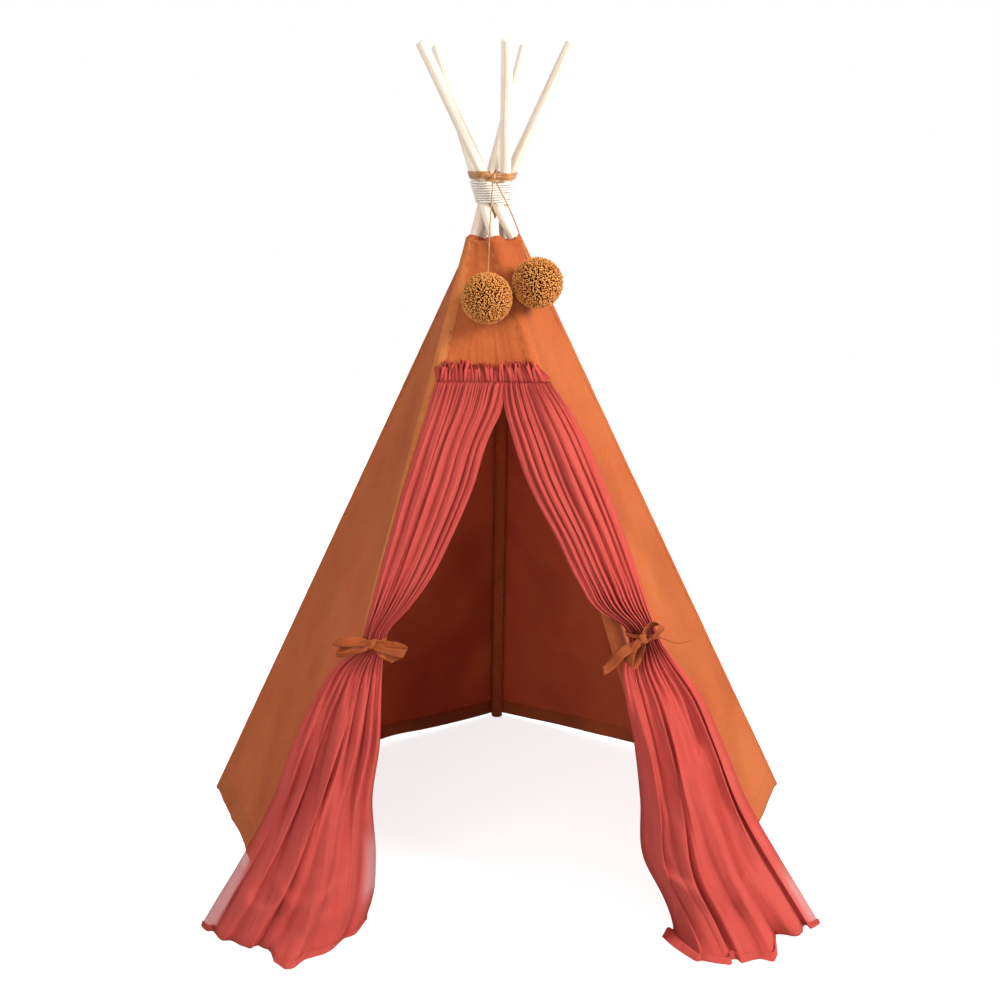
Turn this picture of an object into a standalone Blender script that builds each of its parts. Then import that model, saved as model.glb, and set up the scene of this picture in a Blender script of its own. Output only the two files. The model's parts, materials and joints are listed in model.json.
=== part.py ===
"""Kids teepee: five wooden poles lashed where they cross, in a sewn canvas cover with tied-back curtains.

The poles stand on a regular pentagon, pass the middle on one side and so lean on each other in a whirl.
Each pole is two sections in a ferrule and stands in a sleeve that is sewn into a corner of the cover.
"""

import math

import bmesh
import bpy
from mathutils import Vector

# Poles
POLE_LENGTH = 1.800
POLE_RADIUS = 0.011
POLE_END_ROUND = 0.0015
LOWER_SECTION_LENGTH = 0.900
FERRULE_LENGTH = 0.110
FERRULE_WALL = 0.0008
FERRULE_FIT = 0.0003

# Plan and crossing
FOOT_CIRCLE_RADIUS = 0.655
CROSSING_HEIGHT = 1.315
CROSSING_OFFSET = 0.0225
FOLD_ANGLE = math.radians(17.0)
FIRST_FOOT_AZIMUTH = math.radians(90)
POLE_NAMES = ("back", "left", "front_left", "front_right", "right")
SIDE_NAMES = ("back_left", "left", "front", "right", "back_right")
FRONT_SIDE = SIDE_NAMES.index("front")

# Cover
CLEARANCE = 0.0003
SLEEVE_WALL = 0.001
POCKET_FLOOR = 0.002
CANVAS = 0.0012
COVER_TOP_DROP = 0.065
TOP_EDGE_DIP = 0.012
SKIRT_CLEARANCE = 0.010
HEM_DEPTH = 0.040

# Heading and curtains
HEADING_DROP = 0.329
FRONT_HEM = 0.014
RUFFLE_HEIGHT = 0.032
RUFFLE_DEPTH = 0.007
TAPE_HEIGHT = 0.012
CURTAIN_SHEET = 0.003
CURTAIN_CLEARANCE = 0.005
FOLD_DEPTH = 0.024
BUNDLE_DEPTH = 0.036
HEM_SWEEP = 0.115
CURTAIN_PLEATS = 6

# Ties
RIBBON_WIDTH = 0.020
RIBBON = 0.0012
BAND_ROOM = 0.002
BOW_LOOP_LENGTH = 0.067
BOW_LOOP_DEPTH = 0.018
BOW_TAIL_LENGTH = 0.080
BOW_KNOT_RADIUS = 0.009

# Lashing
ROPE_RADIUS = 0.0021
ROPE_TURNS = 9
ROPE_TURN_GAP = 0.0005
LACE_WIDTH = 0.0042
LACE = 0.0014
LACE_TURNS = 3
LACE_TURN_GAP = 0.0006
LACE_END_LENGTH = 0.016
KNOT_RADIUS = 0.006

# Pom-poms and their laces
POMPOM_RADIUS = 0.046
POMPOM_NAP = 0.003
POMPOM_CORD_RADIUS = 0.0012
FRONT_POMPOM_DROP = 0.172
FRONT_POMPOM_ACROSS = 0.018
CORNER_POMPOM_DROP = 0.146
CORNER_POMPOM_TURN = math.radians(18)

PALE_PINE = (0.76, 0.66, 0.52)
FERRULE_GREY = (0.62, 0.63, 0.65)
RUST_CANVAS = (0.52, 0.15, 0.045)
CORAL_MUSLIN = (0.55, 0.060, 0.045)
RUST_RIBBON = (0.45, 0.095, 0.030)
CREAM_ROPE = (0.78, 0.69, 0.52)
OCHRE_SUEDE = (0.47, 0.17, 0.030)
OCHRE_YARN = (0.46, 0.17, 0.035)

POLE_COUNT = len(POLE_NAMES)
APOTHEM_SHARE = math.cos(math.pi / POLE_COUNT)
POLE_RUN = math.sqrt(FOOT_CIRCLE_RADIUS**2 - CROSSING_OFFSET**2)
PASSING_TURN = math.atan2(CROSSING_OFFSET, POLE_RUN)
POLE_TILT = math.atan2(POLE_RUN, CROSSING_HEIGHT)
WALL_TILT = math.atan(APOTHEM_SHARE * math.tan(POLE_TILT))
SLEEVE_INNER = POLE_RADIUS + FERRULE_FIT + FERRULE_WALL + CLEARANCE
SLEEVE_OUTER = SLEEVE_INNER + SLEEVE_WALL
WALL_OUT = SLEEVE_OUTER / math.cos(POLE_TILT)
COVER_TOP = CROSSING_HEIGHT - COVER_TOP_DROP
HEADING_HEIGHT = CROSSING_HEIGHT - HEADING_DROP
CURTAIN_TOP = HEADING_HEIGHT - CLEARANCE
TAPE_OUT = WALL_OUT + CLEARANCE + CANVAS
CURTAIN_OUT = TAPE_OUT + CLEARANCE + BAND_ROOM

# The plan is set back so that the whole object's middle is over the origin.
FRONT_REACH = APOTHEM_SHARE * FOOT_CIRCLE_RADIUS + CURTAIN_OUT + FOLD_DEPTH
BACK_REACH = FOOT_CIRCLE_RADIUS + WALL_OUT
PLAN_CENTRE = Vector((0, (FRONT_REACH - BACK_REACH) / 2, 0))
UP = Vector((0, 0, 1))


def lean(pole):
    """Level unit direction in which a pole's foot is set out."""
    azimuth = FIRST_FOOT_AZIMUTH + pole * 2 * math.pi / POLE_COUNT + PASSING_TURN
    return Vector((math.cos(azimuth), math.sin(azimuth), 0))


def side_step(pole):
    """Level unit direction square to a pole's lean, and the axis on which it folds."""
    return UP.cross(lean(pole))


def pole_point(pole, height, tilt=POLE_TILT):
    """Point of a pole's axis at a height."""
    drop = CROSSING_HEIGHT - height
    passing = side_step(pole) * CROSSING_OFFSET
    return PLAN_CENTRE - passing + lean(pole) * drop * math.tan(tilt) + UP * height


def pole_direction(pole):
    """Unit direction up a pole."""
    return UP * math.cos(POLE_TILT) - lean(pole) * math.sin(POLE_TILT)


def wall_frame(side, height):
    """Start pole's axis point, unit along the wall, unit out of it, and the distance to the next pole."""
    start = pole_point(side, height)
    end = pole_point((side + 1) % POLE_COUNT, height)
    along = (end - start).normalized()
    return start, along, along.cross(UP), (end - start).length


def wall_point(side, height, across, out):
    """Point of a wall: across from the start pole's axis, out from the line through both poles."""
    start, along, outward, _ = wall_frame(side, height)
    return start + along * across + outward * out


def front_point(height, share, out):
    """Point of the front: share is 0 midway between the front poles, -1 at the left and 1 at the right."""
    width = wall_frame(FRONT_SIDE, height)[3]
    return wall_point(FRONT_SIDE, height, (1 + share) * width / 2, out)


def material(name, colour, roughness, metallic=0.0):
    made = bpy.data.materials.new(name)
    made.use_nodes = True
    shader = made.node_tree.nodes["Principled BSDF"]
    shader.inputs["Base Color"].default_value = (*colour, 1)
    shader.inputs["Roughness"].default_value = roughness
    shader.inputs["Metallic"].default_value = metallic
    return made


def add_object(name, bm, finish, sharp_angle=math.radians(40)):
    """Puts a bmesh in the scene as one named object with its material."""
    bmesh.ops.recalc_face_normals(bm, faces=bm.faces)
    mesh = bpy.data.meshes.new(name)
    bm.to_mesh(mesh)
    bm.free()
    mesh.materials.append(finish)
    mesh.shade_smooth()
    mesh.set_sharp_from_angle(angle=sharp_angle)
    made = bpy.data.objects.new(name, mesh)
    bpy.context.collection.objects.link(made)
    return made


def place(made, point, direction):
    """Stands an object's own Z along a direction, with its origin at a point."""
    made.rotation_mode = "QUATERNION"
    made.rotation_quaternion = direction.to_track_quat("Z", "Y")
    made.location = point


def loop_of(bm, points):
    return [bm.verts.new(point) for point in points]


def close_strip(bm, first, second):
    """Quads between two closed loops of as many vertices."""
    for here in range(len(first)):
        after = (here + 1) % len(first)
        bm.faces.new((first[here], first[after], second[after], second[here]))


def sheet_solid(name, finish, outer, inner, columns, rows):
    """Closed solid between two grids of points, given as functions of the shares across and up."""
    bm = bmesh.new()
    grids = []
    for face in (outer, inner):
        grids.append(
            [[bm.verts.new(face(c / columns, r / rows)) for c in range(columns + 1)] for r in range(rows + 1)]
        )
    for grid in grids:
        for r in range(rows):
            for c in range(columns):
                bm.faces.new((grid[r][c], grid[r][c + 1], grid[r + 1][c + 1], grid[r + 1][c]))
    rims = []
    for grid in grids:
        right = [grid[r][columns] for r in range(1, rows)]
        left = [grid[r][0] for r in range(rows - 1, 0, -1)]
        rims.append(grid[0] + right + grid[rows][::-1] + left)
    close_strip(bm, rims[0], rims[1])
    return add_object(name, bm, finish)


def ring_solid(name, finish, section, steps):
    """Closed ring: section(turn) gives the corners of its section at a turn from 0 to 1."""
    bm = bmesh.new()
    loops = [loop_of(bm, section(step / steps)) for step in range(steps)]
    for step in range(steps):
        close_strip(bm, loops[step], loops[(step + 1) % steps])
    return add_object(name, bm, finish)


def swept_solid(name, finish, sections):
    """Closed strip through a list of sections, each a list of corners, with its two ends filled."""
    bm = bmesh.new()
    loops = [loop_of(bm, section) for section in sections]
    for here, after in zip(loops, loops[1:]):
        close_strip(bm, here, after)
    bm.faces.new(loops[0])
    bm.faces.new(loops[-1])
    return add_object(name, bm, finish)


def tube(name, finish, points, radius, resolution):
    """Round tube on a polyline, with filled ends."""
    curve = bpy.data.curves.new(name, "CURVE")
    curve.dimensions = "3D"
    curve.bevel_depth = radius
    curve.bevel_resolution = resolution
    curve.use_fill_caps = True
    spline = curve.splines.new("POLY")
    spline.points.add(len(points) - 1)
    for spot, point in zip(spline.points, points):
        spot.co = (*point, 1)
    curve.materials.append(finish)
    made = bpy.data.objects.new(name, curve)
    bpy.context.collection.objects.link(made)
    return made


# Poles: two turned sections with rounded ends, butted inside a thin metal ferrule.

POLE_SIDES = 16
FOOT_HEIGHT = POCKET_FLOOR + CLEARANCE + POLE_RADIUS * math.sin(POLE_TILT)


def along_pole(pole, distance):
    """Point of the axis at a distance from the lower end."""
    return pole_point(pole, FOOT_HEIGHT) + pole_direction(pole) * distance


def pole_section(name, pole, finish, start, length):
    bm = bmesh.new()
    bmesh.ops.create_cone(
        bm, cap_ends=True, segments=POLE_SIDES, radius1=POLE_RADIUS, radius2=POLE_RADIUS, depth=length
    )
    bmesh.ops.translate(bm, verts=bm.verts, vec=UP * length / 2)
    rims = [edge for edge in bm.edges if abs(edge.verts[0].co.z - edge.verts[1].co.z) < length / 2]
    bmesh.ops.bevel(bm, geom=rims, offset=POLE_END_ROUND, segments=2, affect="EDGES", profile=0.5)
    made = add_object(name, bm, finish)
    place(made, along_pole(pole, start), pole_direction(pole))


def ferrule(name, pole, finish):
    inner = POLE_RADIUS + FERRULE_FIT
    outer = inner + FERRULE_WALL
    bm = bmesh.new()
    low, high = -FERRULE_LENGTH / 2, FERRULE_LENGTH / 2
    corners = ((outer, low), (outer, high), (inner, high), (inner, low))
    loops = []
    for radius, height in corners:
        ring = []
        for step in range(POLE_SIDES):
            turn = 2 * math.pi * step / POLE_SIDES
            ring.append(Vector((radius * math.cos(turn), radius * math.sin(turn), height)))
        loops.append(loop_of(bm, ring))
    for here in range(len(loops)):
        close_strip(bm, loops[here], loops[(here + 1) % len(loops)])
    made = add_object(name, bm, finish)
    place(made, along_pole(pole, LOWER_SECTION_LENGTH + CLEARANCE / 2), pole_direction(pole))


def build_poles(wood, metal):
    upper_start = LOWER_SECTION_LENGTH + CLEARANCE
    for pole, name in enumerate(POLE_NAMES):
        pole_section(f"{name}_pole_lower", pole, wood, 0, LOWER_SECTION_LENGTH)
        pole_section(f"{name}_pole_upper", pole, wood, upper_start, POLE_LENGTH - upper_start)
        ferrule(f"{name}_ferrule", pole, metal)


# Sleeves: a tube of canvas at each corner, closed at the floor, where it is the tent's foot.

SLEEVE_SIDES = 18


def sleeve_ring(pole, radius, height, level):
    """Ring round a pole: cut level at the height, or square to the pole through its axis there."""
    direction = pole_direction(pole)
    across = side_step(pole)
    square = direction.cross(across)
    centre = pole_point(pole, height)
    ring = []
    for step in range(SLEEVE_SIDES):
        turn = 2 * math.pi * step / SLEEVE_SIDES
        point = centre + across * radius * math.cos(turn) + square * radius * math.sin(turn)
        if level:
            point += direction * (height - point.z) / direction.z
        ring.append(point)
    return ring


def build_sleeves(canvas):
    for pole, name in enumerate(POLE_NAMES):
        bm = bmesh.new()
        loops = [
            loop_of(bm, sleeve_ring(pole, SLEEVE_OUTER, 0, True)),
            loop_of(bm, sleeve_ring(pole, SLEEVE_OUTER, COVER_TOP, False)),
            loop_of(bm, sleeve_ring(pole, SLEEVE_INNER, COVER_TOP, False)),
            loop_of(bm, sleeve_ring(pole, SLEEVE_INNER, POCKET_FLOOR, True)),
        ]
        for here, after in zip(loops, loops[1:]):
            close_strip(bm, here, after)
        bm.faces.new(loops[0])
        bm.faces.new(loops[-1])
        add_object(f"{name}_pole_sleeve", bm, canvas)


# Cover: five panels between the sleeves, each with a turned hem, and the front one above the doorway.

PANEL_COLUMNS = 8
PANEL_ROWS = 12
PANEL_MARGIN = math.sqrt((WALL_OUT + CLEARANCE) ** 2 - (WALL_OUT - CANVAS) ** 2)
HEM_OUT = WALL_OUT - CANVAS - CLEARANCE
HEM_MARGIN = math.sqrt((WALL_OUT + CLEARANCE) ** 2 - (HEM_OUT - CANVAS) ** 2)


def wall_layer(side, out, margin, low, high):
    """Function of the shares across and up for one face of a layer of a wall."""

    def point(u, v):
        height = low(u) + v * (high(u) - low(u))
        width = wall_frame(side, height)[3]
        return wall_point(side, height, margin + u * (width - 2 * margin), out)

    return point


def top_edge(u):
    return COVER_TOP - TOP_EDGE_DIP * math.sin(math.pi * u)


def build_cover(canvas):
    for side, name in enumerate(SIDE_NAMES):
        bottom = HEADING_HEIGHT - FRONT_HEM if side == FRONT_SIDE else SKIRT_CLEARANCE
        faces = [
            wall_layer(side, out, PANEL_MARGIN, lambda u, low=bottom: low, top_edge)
            for out in (WALL_OUT, WALL_OUT - CANVAS)
        ]
        rows = PANEL_ROWS // 2 if side == FRONT_SIDE else PANEL_ROWS
        sheet_solid(f"{name}_panel", canvas, faces[0], faces[1], PANEL_COLUMNS, rows)
        hem_high = bottom + (FRONT_HEM if side == FRONT_SIDE else HEM_DEPTH)
        hems = [
            wall_layer(side, out, HEM_MARGIN, lambda u, low=bottom: low, lambda u, high=hem_high: high)
            for out in (HEM_OUT, HEM_OUT - CANVAS)
        ]
        sheet_solid(f"{name}_hem", canvas, hems[0], hems[1], PANEL_COLUMNS, 1)


# Heading: a gathering tape on the front panel's lower edge, with a ruffle standing above the seam.

RUFFLE_COLUMNS = 64
RUFFLE_PLEATS = 13
RUFFLE_SWELLS = 5
RUFFLE_EDGE_WAVES = 4
RUFFLE_PLEAT_SHARE = 0.36
RUFFLE_SWELL_SHARE = 0.14
RUFFLE_SEAM_SHARE = 0.45
RUFFLE_EDGE_SHARE = 0.06
RUFFLE_END_SHARE = 1.02


def ruffle_wave(u):
    """How far the ruffle stands out at a share of its width: narrow pleats on slower swells."""
    pleats = RUFFLE_PLEAT_SHARE * math.sin(2 * math.pi * RUFFLE_PLEATS * u)
    swells = RUFFLE_SWELL_SHARE * math.sin(2 * math.pi * RUFFLE_SWELLS * u + 1)
    return 0.5 + pleats + swells


def build_heading(muslin):
    seam = HEADING_HEIGHT

    def tape_face(out):
        def point(u, v):
            return front_point(seam + (v - 0.5) * TAPE_HEIGHT, (2 * u - 1) * RUFFLE_END_SHARE, out)

        return point

    sheet_solid(
        "gathering_tape", muslin, tape_face(TAPE_OUT), tape_face(TAPE_OUT - CANVAS), PANEL_COLUMNS, 1
    )

    def ruffle_face(extra):
        def point(u, v):
            flare = RUFFLE_DEPTH * (RUFFLE_SEAM_SHARE + (1 - RUFFLE_SEAM_SHARE) * v) * ruffle_wave(u)
            edge = 1 - RUFFLE_EDGE_SHARE * (1 - math.sin(2 * math.pi * RUFFLE_EDGE_WAVES * u))
            height = seam + v * RUFFLE_HEIGHT * edge
            share = (2 * u - 1) * RUFFLE_END_SHARE
            return front_point(height, share, TAPE_OUT + CLEARANCE + flare + extra)

        return point

    sheet_solid("curtain_ruffle", muslin, ruffle_face(CANVAS), ruffle_face(0), RUFFLE_COLUMNS, 2)


# Curtains: gathered on the tape, drawn to a bundle at the tie and spread again over the floor.
# Each row gives shares: height of the heading's height; inner and outer edge of the half width
# between the front poles; bundle, fold and sweep of the sizes with those names.

LEFT_CURTAIN_SHARES = (
    (1.000, -0.36, 1.00, 0.00, 0.30, 0.00),
    (0.953, -0.24, 1.00, 0.00, 0.42, 0.00),
    (0.903, -0.02, 1.02, 0.04, 0.55, 0.00),
    (0.800, 0.21, 1.05, 0.10, 0.70, 0.00),
    (0.722, 0.40, 1.06, 0.22, 0.65, 0.00),
    (0.637, 0.60, 1.06, 0.45, 0.45, 0.00),
    (0.590, 0.75, 1.06, 0.80, 0.22, 0.00),
    (0.552, 0.87, 1.07, 1.00, 0.06, 0.00),
    (0.524, 0.87, 1.07, 1.00, 0.06, 0.00),
    (0.490, 0.85, 1.09, 0.85, 0.20, 0.00),
    (0.430, 0.82, 1.13, 0.50, 0.45, 0.06),
    (0.350, 0.78, 1.20, 0.30, 0.68, 0.22),
    (0.240, 0.73, 1.29, 0.16, 0.85, 0.50),
    (0.120, 0.69, 1.37, 0.10, 1.00, 0.80),
    (0.000, 0.65, 1.43, 0.08, 1.00, 1.00),
)
RIGHT_CURTAIN_SHARES = (
    (1.000, 0.40, 1.02, 0.00, 0.30, 0.00),
    (0.953, 0.34, 1.30, 0.00, 0.42, 0.00),
    (0.903, 0.36, 1.42, 0.04, 0.55, 0.00),
    (0.832, 0.46, 1.44, 0.10, 0.70, 0.00),
    (0.714, 0.71, 1.40, 0.22, 0.65, 0.00),
    (0.637, 0.90, 1.38, 0.45, 0.45, 0.00),
    (0.590, 1.07, 1.39, 0.80, 0.22, 0.00),
    (0.557, 1.19, 1.39, 1.00, 0.06, 0.00),
    (0.529, 1.19, 1.39, 1.00, 0.06, 0.00),
    (0.490, 1.12, 1.38, 0.85, 0.20, 0.00),
    (0.430, 1.01, 1.38, 0.50, 0.45, 0.06),
    (0.350, 0.93, 1.43, 0.30, 0.68, 0.22),
    (0.240, 0.85, 1.48, 0.16, 0.85, 0.50),
    (0.120, 0.78, 1.53, 0.10, 1.00, 0.75),
    (0.000, 0.74, 1.56, 0.08, 1.00, 0.90),
)
LEFT_TIE_SHARE = 0.538
RIGHT_TIE_SHARE = 0.543
CURTAIN_COLUMNS = 30
LONG_ROW_SHARE = 0.09

# Depth of the pleats and of the slower sway between them, and how far each drifts sideways up the cloth.
PLEAT_SHARE = 0.38
SWAY_SHARE = 0.12
PLEAT_DRIFT = 1.4
SWAY_DRIFT = 3
SWAY_START = 2


def smooth_row(shares, height_share):
    """Row of a table of shares at a height, eased between the rows that stand there."""
    for upper, lower in zip(shares, shares[1:]):
        if height_share >= lower[0]:
            t = (upper[0] - height_share) / (upper[0] - lower[0])
            break
    eased = (t + t * t * (3 - 2 * t)) / 2
    return [a + (b - a) * eased for a, b in zip(upper, lower)]


def curtain_height(height_share):
    return CURTAIN_CLEARANCE + height_share * (CURTAIN_TOP - CURTAIN_CLEARANCE)


def beside_pole(share, inner, outer):
    """How far a place in a curtain's row is from the pole, as a share of the way to that edge."""
    if share > 1:
        return (share - 1) / (outer - 1)
    return (1 - share) / (1 - inner)


def curtain_face(shares, mirror, front):
    """One face of a curtain, as a function of the shares across and up."""

    def point(u, v):
        _, inner, outer, bundle, fold, sweep = smooth_row(shares, v)
        share = inner + u * (outer - inner)
        waves = 2 * math.pi * CURTAIN_PLEATS * u
        pleats = PLEAT_SHARE * math.sin(waves + PLEAT_DRIFT * v)
        sway = SWAY_SHARE * math.sin(waves / 2 + SWAY_START + SWAY_DRIFT * v)
        wave = 0.5 + pleats + sway
        round_share = math.sqrt(max(0, 1 - (2 * u - 1) ** 2))
        half_bundle = bundle * BUNDLE_DEPTH / 2
        middle = CURTAIN_OUT + half_bundle + fold * FOLD_DEPTH * wave
        middle -= sweep * HEM_SWEEP * beside_pole(share, inner, outer) ** 2
        out = middle - half_bundle * round_share
        if front:
            out = middle + CURTAIN_SHEET + half_bundle * round_share
        return front_point(curtain_height(v), mirror * share, out)

    return point


def row_heights(shares):
    """Heights of a curtain's rows of points, bottom first: the table's, and one more in each long gap."""
    heights = []
    for upper, lower in zip(shares, shares[1:]):
        heights.append(upper[0])
        if upper[0] - lower[0] > LONG_ROW_SHARE:
            heights.append((upper[0] + lower[0]) / 2)
    heights.append(shares[-1][0])
    return heights[::-1]


def build_curtain(name, muslin, shares, mirror):
    heights = row_heights(shares)
    rows = len(heights) - 1
    faces = []
    for front in (True, False):
        face = curtain_face(shares, mirror, front)
        faces.append(lambda u, v, face=face: face(u, heights[round(v * rows)]))
    sheet_solid(name, muslin, faces[0], faces[1], CURTAIN_COLUMNS, rows)


# Ties: a ribbon round each bundle, and a bow of two loops and two tails on its front.

BAND_STEPS = 36
LOOP_STEPS = 20
TAIL_STEPS = 5
NECK_SHARE = 0.4
DROOP_SHARE = 0.1

# Each loop and each tail of a bow: its direction in degrees from the right, its share of the length
# that loops or tails have, and how far its ribbon is rolled out of the wall's plane, in degrees.
LEFT_LOOP_SHARES = ((-12, 1.00, 20), (194, 0.97, -35))
LEFT_TAIL_SHARES = ((174, 0.88, 0), (-30, 0.75, 0))
RIGHT_LOOP_SHARES = ((42, 0.76, 75), (234, 1.13, 35))
RIGHT_TAIL_SHARES = ((0, 1.00, 75), (214, 1.29, 45))


class Bundle:
    """Where a tied curtain's bundle lies: its height, its middle and half widths in the front's frame."""

    def __init__(self, shares, tie_share, mirror):
        _, inner, outer, bundle, fold, _ = smooth_row(shares, tie_share)
        self.height = curtain_height(tie_share)
        self.mirror = mirror
        half_width = wall_frame(FRONT_SIDE, self.height)[3] / 2
        self.share = mirror * (inner + outer) / 2
        self.half_across = (outer - inner) / 2 * half_width
        self.half_out = bundle * BUNDLE_DEPTH / 2 + (CURTAIN_SHEET + fold * FOLD_DEPTH) / 2
        self.out = CURTAIN_OUT + self.half_out

    def slanting_point(self, across, up, out):
        """Point in metres from the bundle's middle line, which leans as the pole does."""
        height = self.height + up
        half_width = wall_frame(FRONT_SIDE, height)[3] / 2
        return front_point(height, self.share + across / half_width, self.out + out)

    def point(self, across, up, out):
        """Point in metres from the bundle's middle: across to the right, up the wall, and out."""
        height = self.height + up
        half_width = wall_frame(FRONT_SIDE, height)[3] / 2
        tied_width = wall_frame(FRONT_SIDE, self.height)[3] / 2
        return front_point(height, (self.share * tied_width + across) / half_width, self.out + out)


def band_section(bundle):
    inner_across = bundle.half_across + BAND_ROOM
    inner_out = bundle.half_out + BAND_ROOM - CLEARANCE - RIBBON / 2

    def section(turn):
        angle = 2 * math.pi * turn
        corners = []
        for up, wall in ((-1, 0), (1, 0), (1, RIBBON), (-1, RIBBON)):
            across = (inner_across + wall) * math.cos(angle)
            out = (inner_out + wall) * math.sin(angle)
            corners.append(bundle.slanting_point(across, up * RIBBON_WIDTH / 2, out))
        return corners

    return section


def bow_axes(direction, roll):
    """Unit directions along a piece of the bow, over its ribbon's width and through its thickness.

    They are in the bundle's own frame: across, up and out.
    """
    along = Vector((math.cos(direction), math.sin(direction), 0))
    square = Vector((-math.sin(direction), math.cos(direction), 0))
    wide = square * math.cos(roll) + UP * math.sin(roll)
    thick = UP * math.cos(roll) - square * math.sin(roll)
    return along, wide, thick


def bow_loop(name, finish, bundle, bow_out, direction, length, roll):
    """One loop of the bow: a flattened ring of ribbon, narrow at the knot, that droops to its end."""
    along, wide, thick = bow_axes(direction, roll)

    def section(turn):
        phase = 2 * math.pi * turn
        reach = (1 - math.cos(phase)) / 2
        half_width = RIBBON_WIDTH / 2 * (NECK_SHARE + (1 - NECK_SHARE) * math.sqrt(reach))
        corners = []
        for edge, wall in ((-1, 0), (1, 0), (1, RIBBON), (-1, RIBBON)):
            spot = along * (wall + reach * (length - 2 * wall))
            spot += wide * edge * half_width + thick * (BOW_LOOP_DEPTH / 2 - wall) * math.sin(phase)
            droop = DROOP_SHARE * length * reach**2
            corners.append(bundle.point(spot.x, spot.y - droop, bow_out + spot.z))
        return corners

    return ring_solid(name, finish, section, LOOP_STEPS)


def bow_tail(name, finish, bundle, bow_out, direction, length, roll):
    """One tail: ribbon that leaves the knot nearly straight, with its end cut aslant."""
    along, wide, thick = bow_axes(direction, roll)
    sections = []
    for step in range(TAIL_STEPS + 1):
        t = step / TAIL_STEPS
        half_width = RIBBON_WIDTH / 2 * (NECK_SHARE + (1 - NECK_SHARE) * math.sin(math.pi / 2 * min(1, 2 * t)))
        cut = RIBBON_WIDTH / 4 * t**4
        droop = DROOP_SHARE * length * t**2
        corners = []
        for edge, wall in ((-1, 0), (1, 0), (1, RIBBON), (-1, RIBBON)):
            spot = along * (length * t + edge * cut) + wide * edge * half_width
            spot += thick * (wall - RIBBON / 2)
            corners.append(bundle.point(spot.x, spot.y - droop, bow_out + spot.z))
        sections.append(corners)
    return swept_solid(name, finish, sections)


def fuse(made, others):
    """Joins the others to an object by Boolean unions, and leaves them as guides."""
    for other in others:
        union = made.modifiers.new(other.name, "BOOLEAN")
        union.operation = "UNION"
        union.solver = "EXACT"
        union.object = other
        other.hide_render = True
        other.display_type = "WIRE"


def build_tie(side_name, ribbon, bundle, loop_shares, tail_shares):
    ring_solid(f"{side_name}_tie_band", ribbon, band_section(bundle), BAND_STEPS)
    band_front = bundle.half_out + BAND_ROOM - CLEARANCE + RIBBON / 2
    bow_out = band_front + CLEARANCE + BOW_LOOP_DEPTH / 2 + RIBBON
    bm = bmesh.new()
    bmesh.ops.create_uvsphere(bm, u_segments=14, v_segments=10, radius=BOW_KNOT_RADIUS)
    bow = add_object(f"{side_name}_tie_bow", bm, ribbon)
    bow.location = bundle.point(0, 0, bow_out)
    parts = []
    for kind, make, length, rows in (
        ("loop", bow_loop, BOW_LOOP_LENGTH, loop_shares),
        ("tail", bow_tail, BOW_TAIL_LENGTH, tail_shares),
    ):
        for number, (direction, share, roll) in enumerate(rows, 1):
            guide = f"{side_name}_bow_{kind}_{number}_guide"
            way = (math.radians(direction), length * share, math.radians(roll))
            parts.append(make(guide, ribbon, bundle, bow_out, *way))
    fuse(bow, parts)


# Lashing: rope wound tightly round all five poles from the crossing up, and flat lace above it.

TURN_POINTS = 24
HALF_STEP = math.pi / TURN_POINTS
FOLD_STEPS = 8
FRONT_AZIMUTH = math.radians(-90)
ROPE_PITCH = 2 * ROPE_RADIUS + ROPE_TURN_GAP
ROPE_SPARE = (ROPE_RADIUS + CLEARANCE) / math.cos(POLE_TILT)
LACE_PITCH = LACE_WIDTH + LACE_TURN_GAP
LACE_START = CROSSING_HEIGHT + ROPE_PITCH * ROPE_TURNS + ROPE_RADIUS + CLEARANCE + LACE_WIDTH / 2
LACE_SPARE = CLEARANCE / math.cos(POLE_TILT) + LACE_WIDTH / 2 * math.tan(POLE_TILT)


def pole_reach(height, azimuth):
    """How far the poles' sections at a height reach in one level direction, over the whole fold."""
    normal = Vector((math.cos(azimuth), math.sin(azimuth), 0))
    reach = 0
    for step in range(FOLD_STEPS + 1):
        tilt = POLE_TILT - FOLD_ANGLE * step / FOLD_STEPS
        for pole in range(POLE_COUNT):
            middle = (pole_point(pole, height, tilt) - PLAN_CENTRE).dot(normal)
            forward = lean(pole).dot(normal) / math.cos(tilt)
            sideways = side_step(pole).dot(normal)
            reach = max(reach, middle + POLE_RADIUS * math.hypot(forward, sideways))
    return reach


def loop_corner(height, azimuth, spare):
    """Corner of a level loop round all poles: where the tangents half a step to each side meet."""
    before = pole_reach(height, azimuth - HALF_STEP) + spare
    after = pole_reach(height, azimuth + HALF_STEP) + spare
    outward = Vector((math.cos(azimuth), math.sin(azimuth), 0))
    onward = UP.cross(outward)
    corner = outward * (before + after) / (2 * math.cos(HALF_STEP))
    corner += onward * (after - before) / (2 * math.sin(HALF_STEP))
    return PLAN_CENTRE + UP * height + corner


def winding(start_height, pitch, turns, spare):
    points = []
    for step in range(turns * TURN_POINTS + 1):
        turn = step / TURN_POINTS
        points.append(loop_corner(start_height + pitch * turn, FRONT_AZIMUTH + 2 * math.pi * turn, spare))
    return points


def least_turn_gap(points, thickness):
    """Least gap between a winding's turns, measured from its points."""
    least = math.inf
    for here, point in enumerate(points):
        for other in points[here + TURN_POINTS // 2 :]:
            least = min(least, (point - other).length)
    return least - thickness


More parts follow.
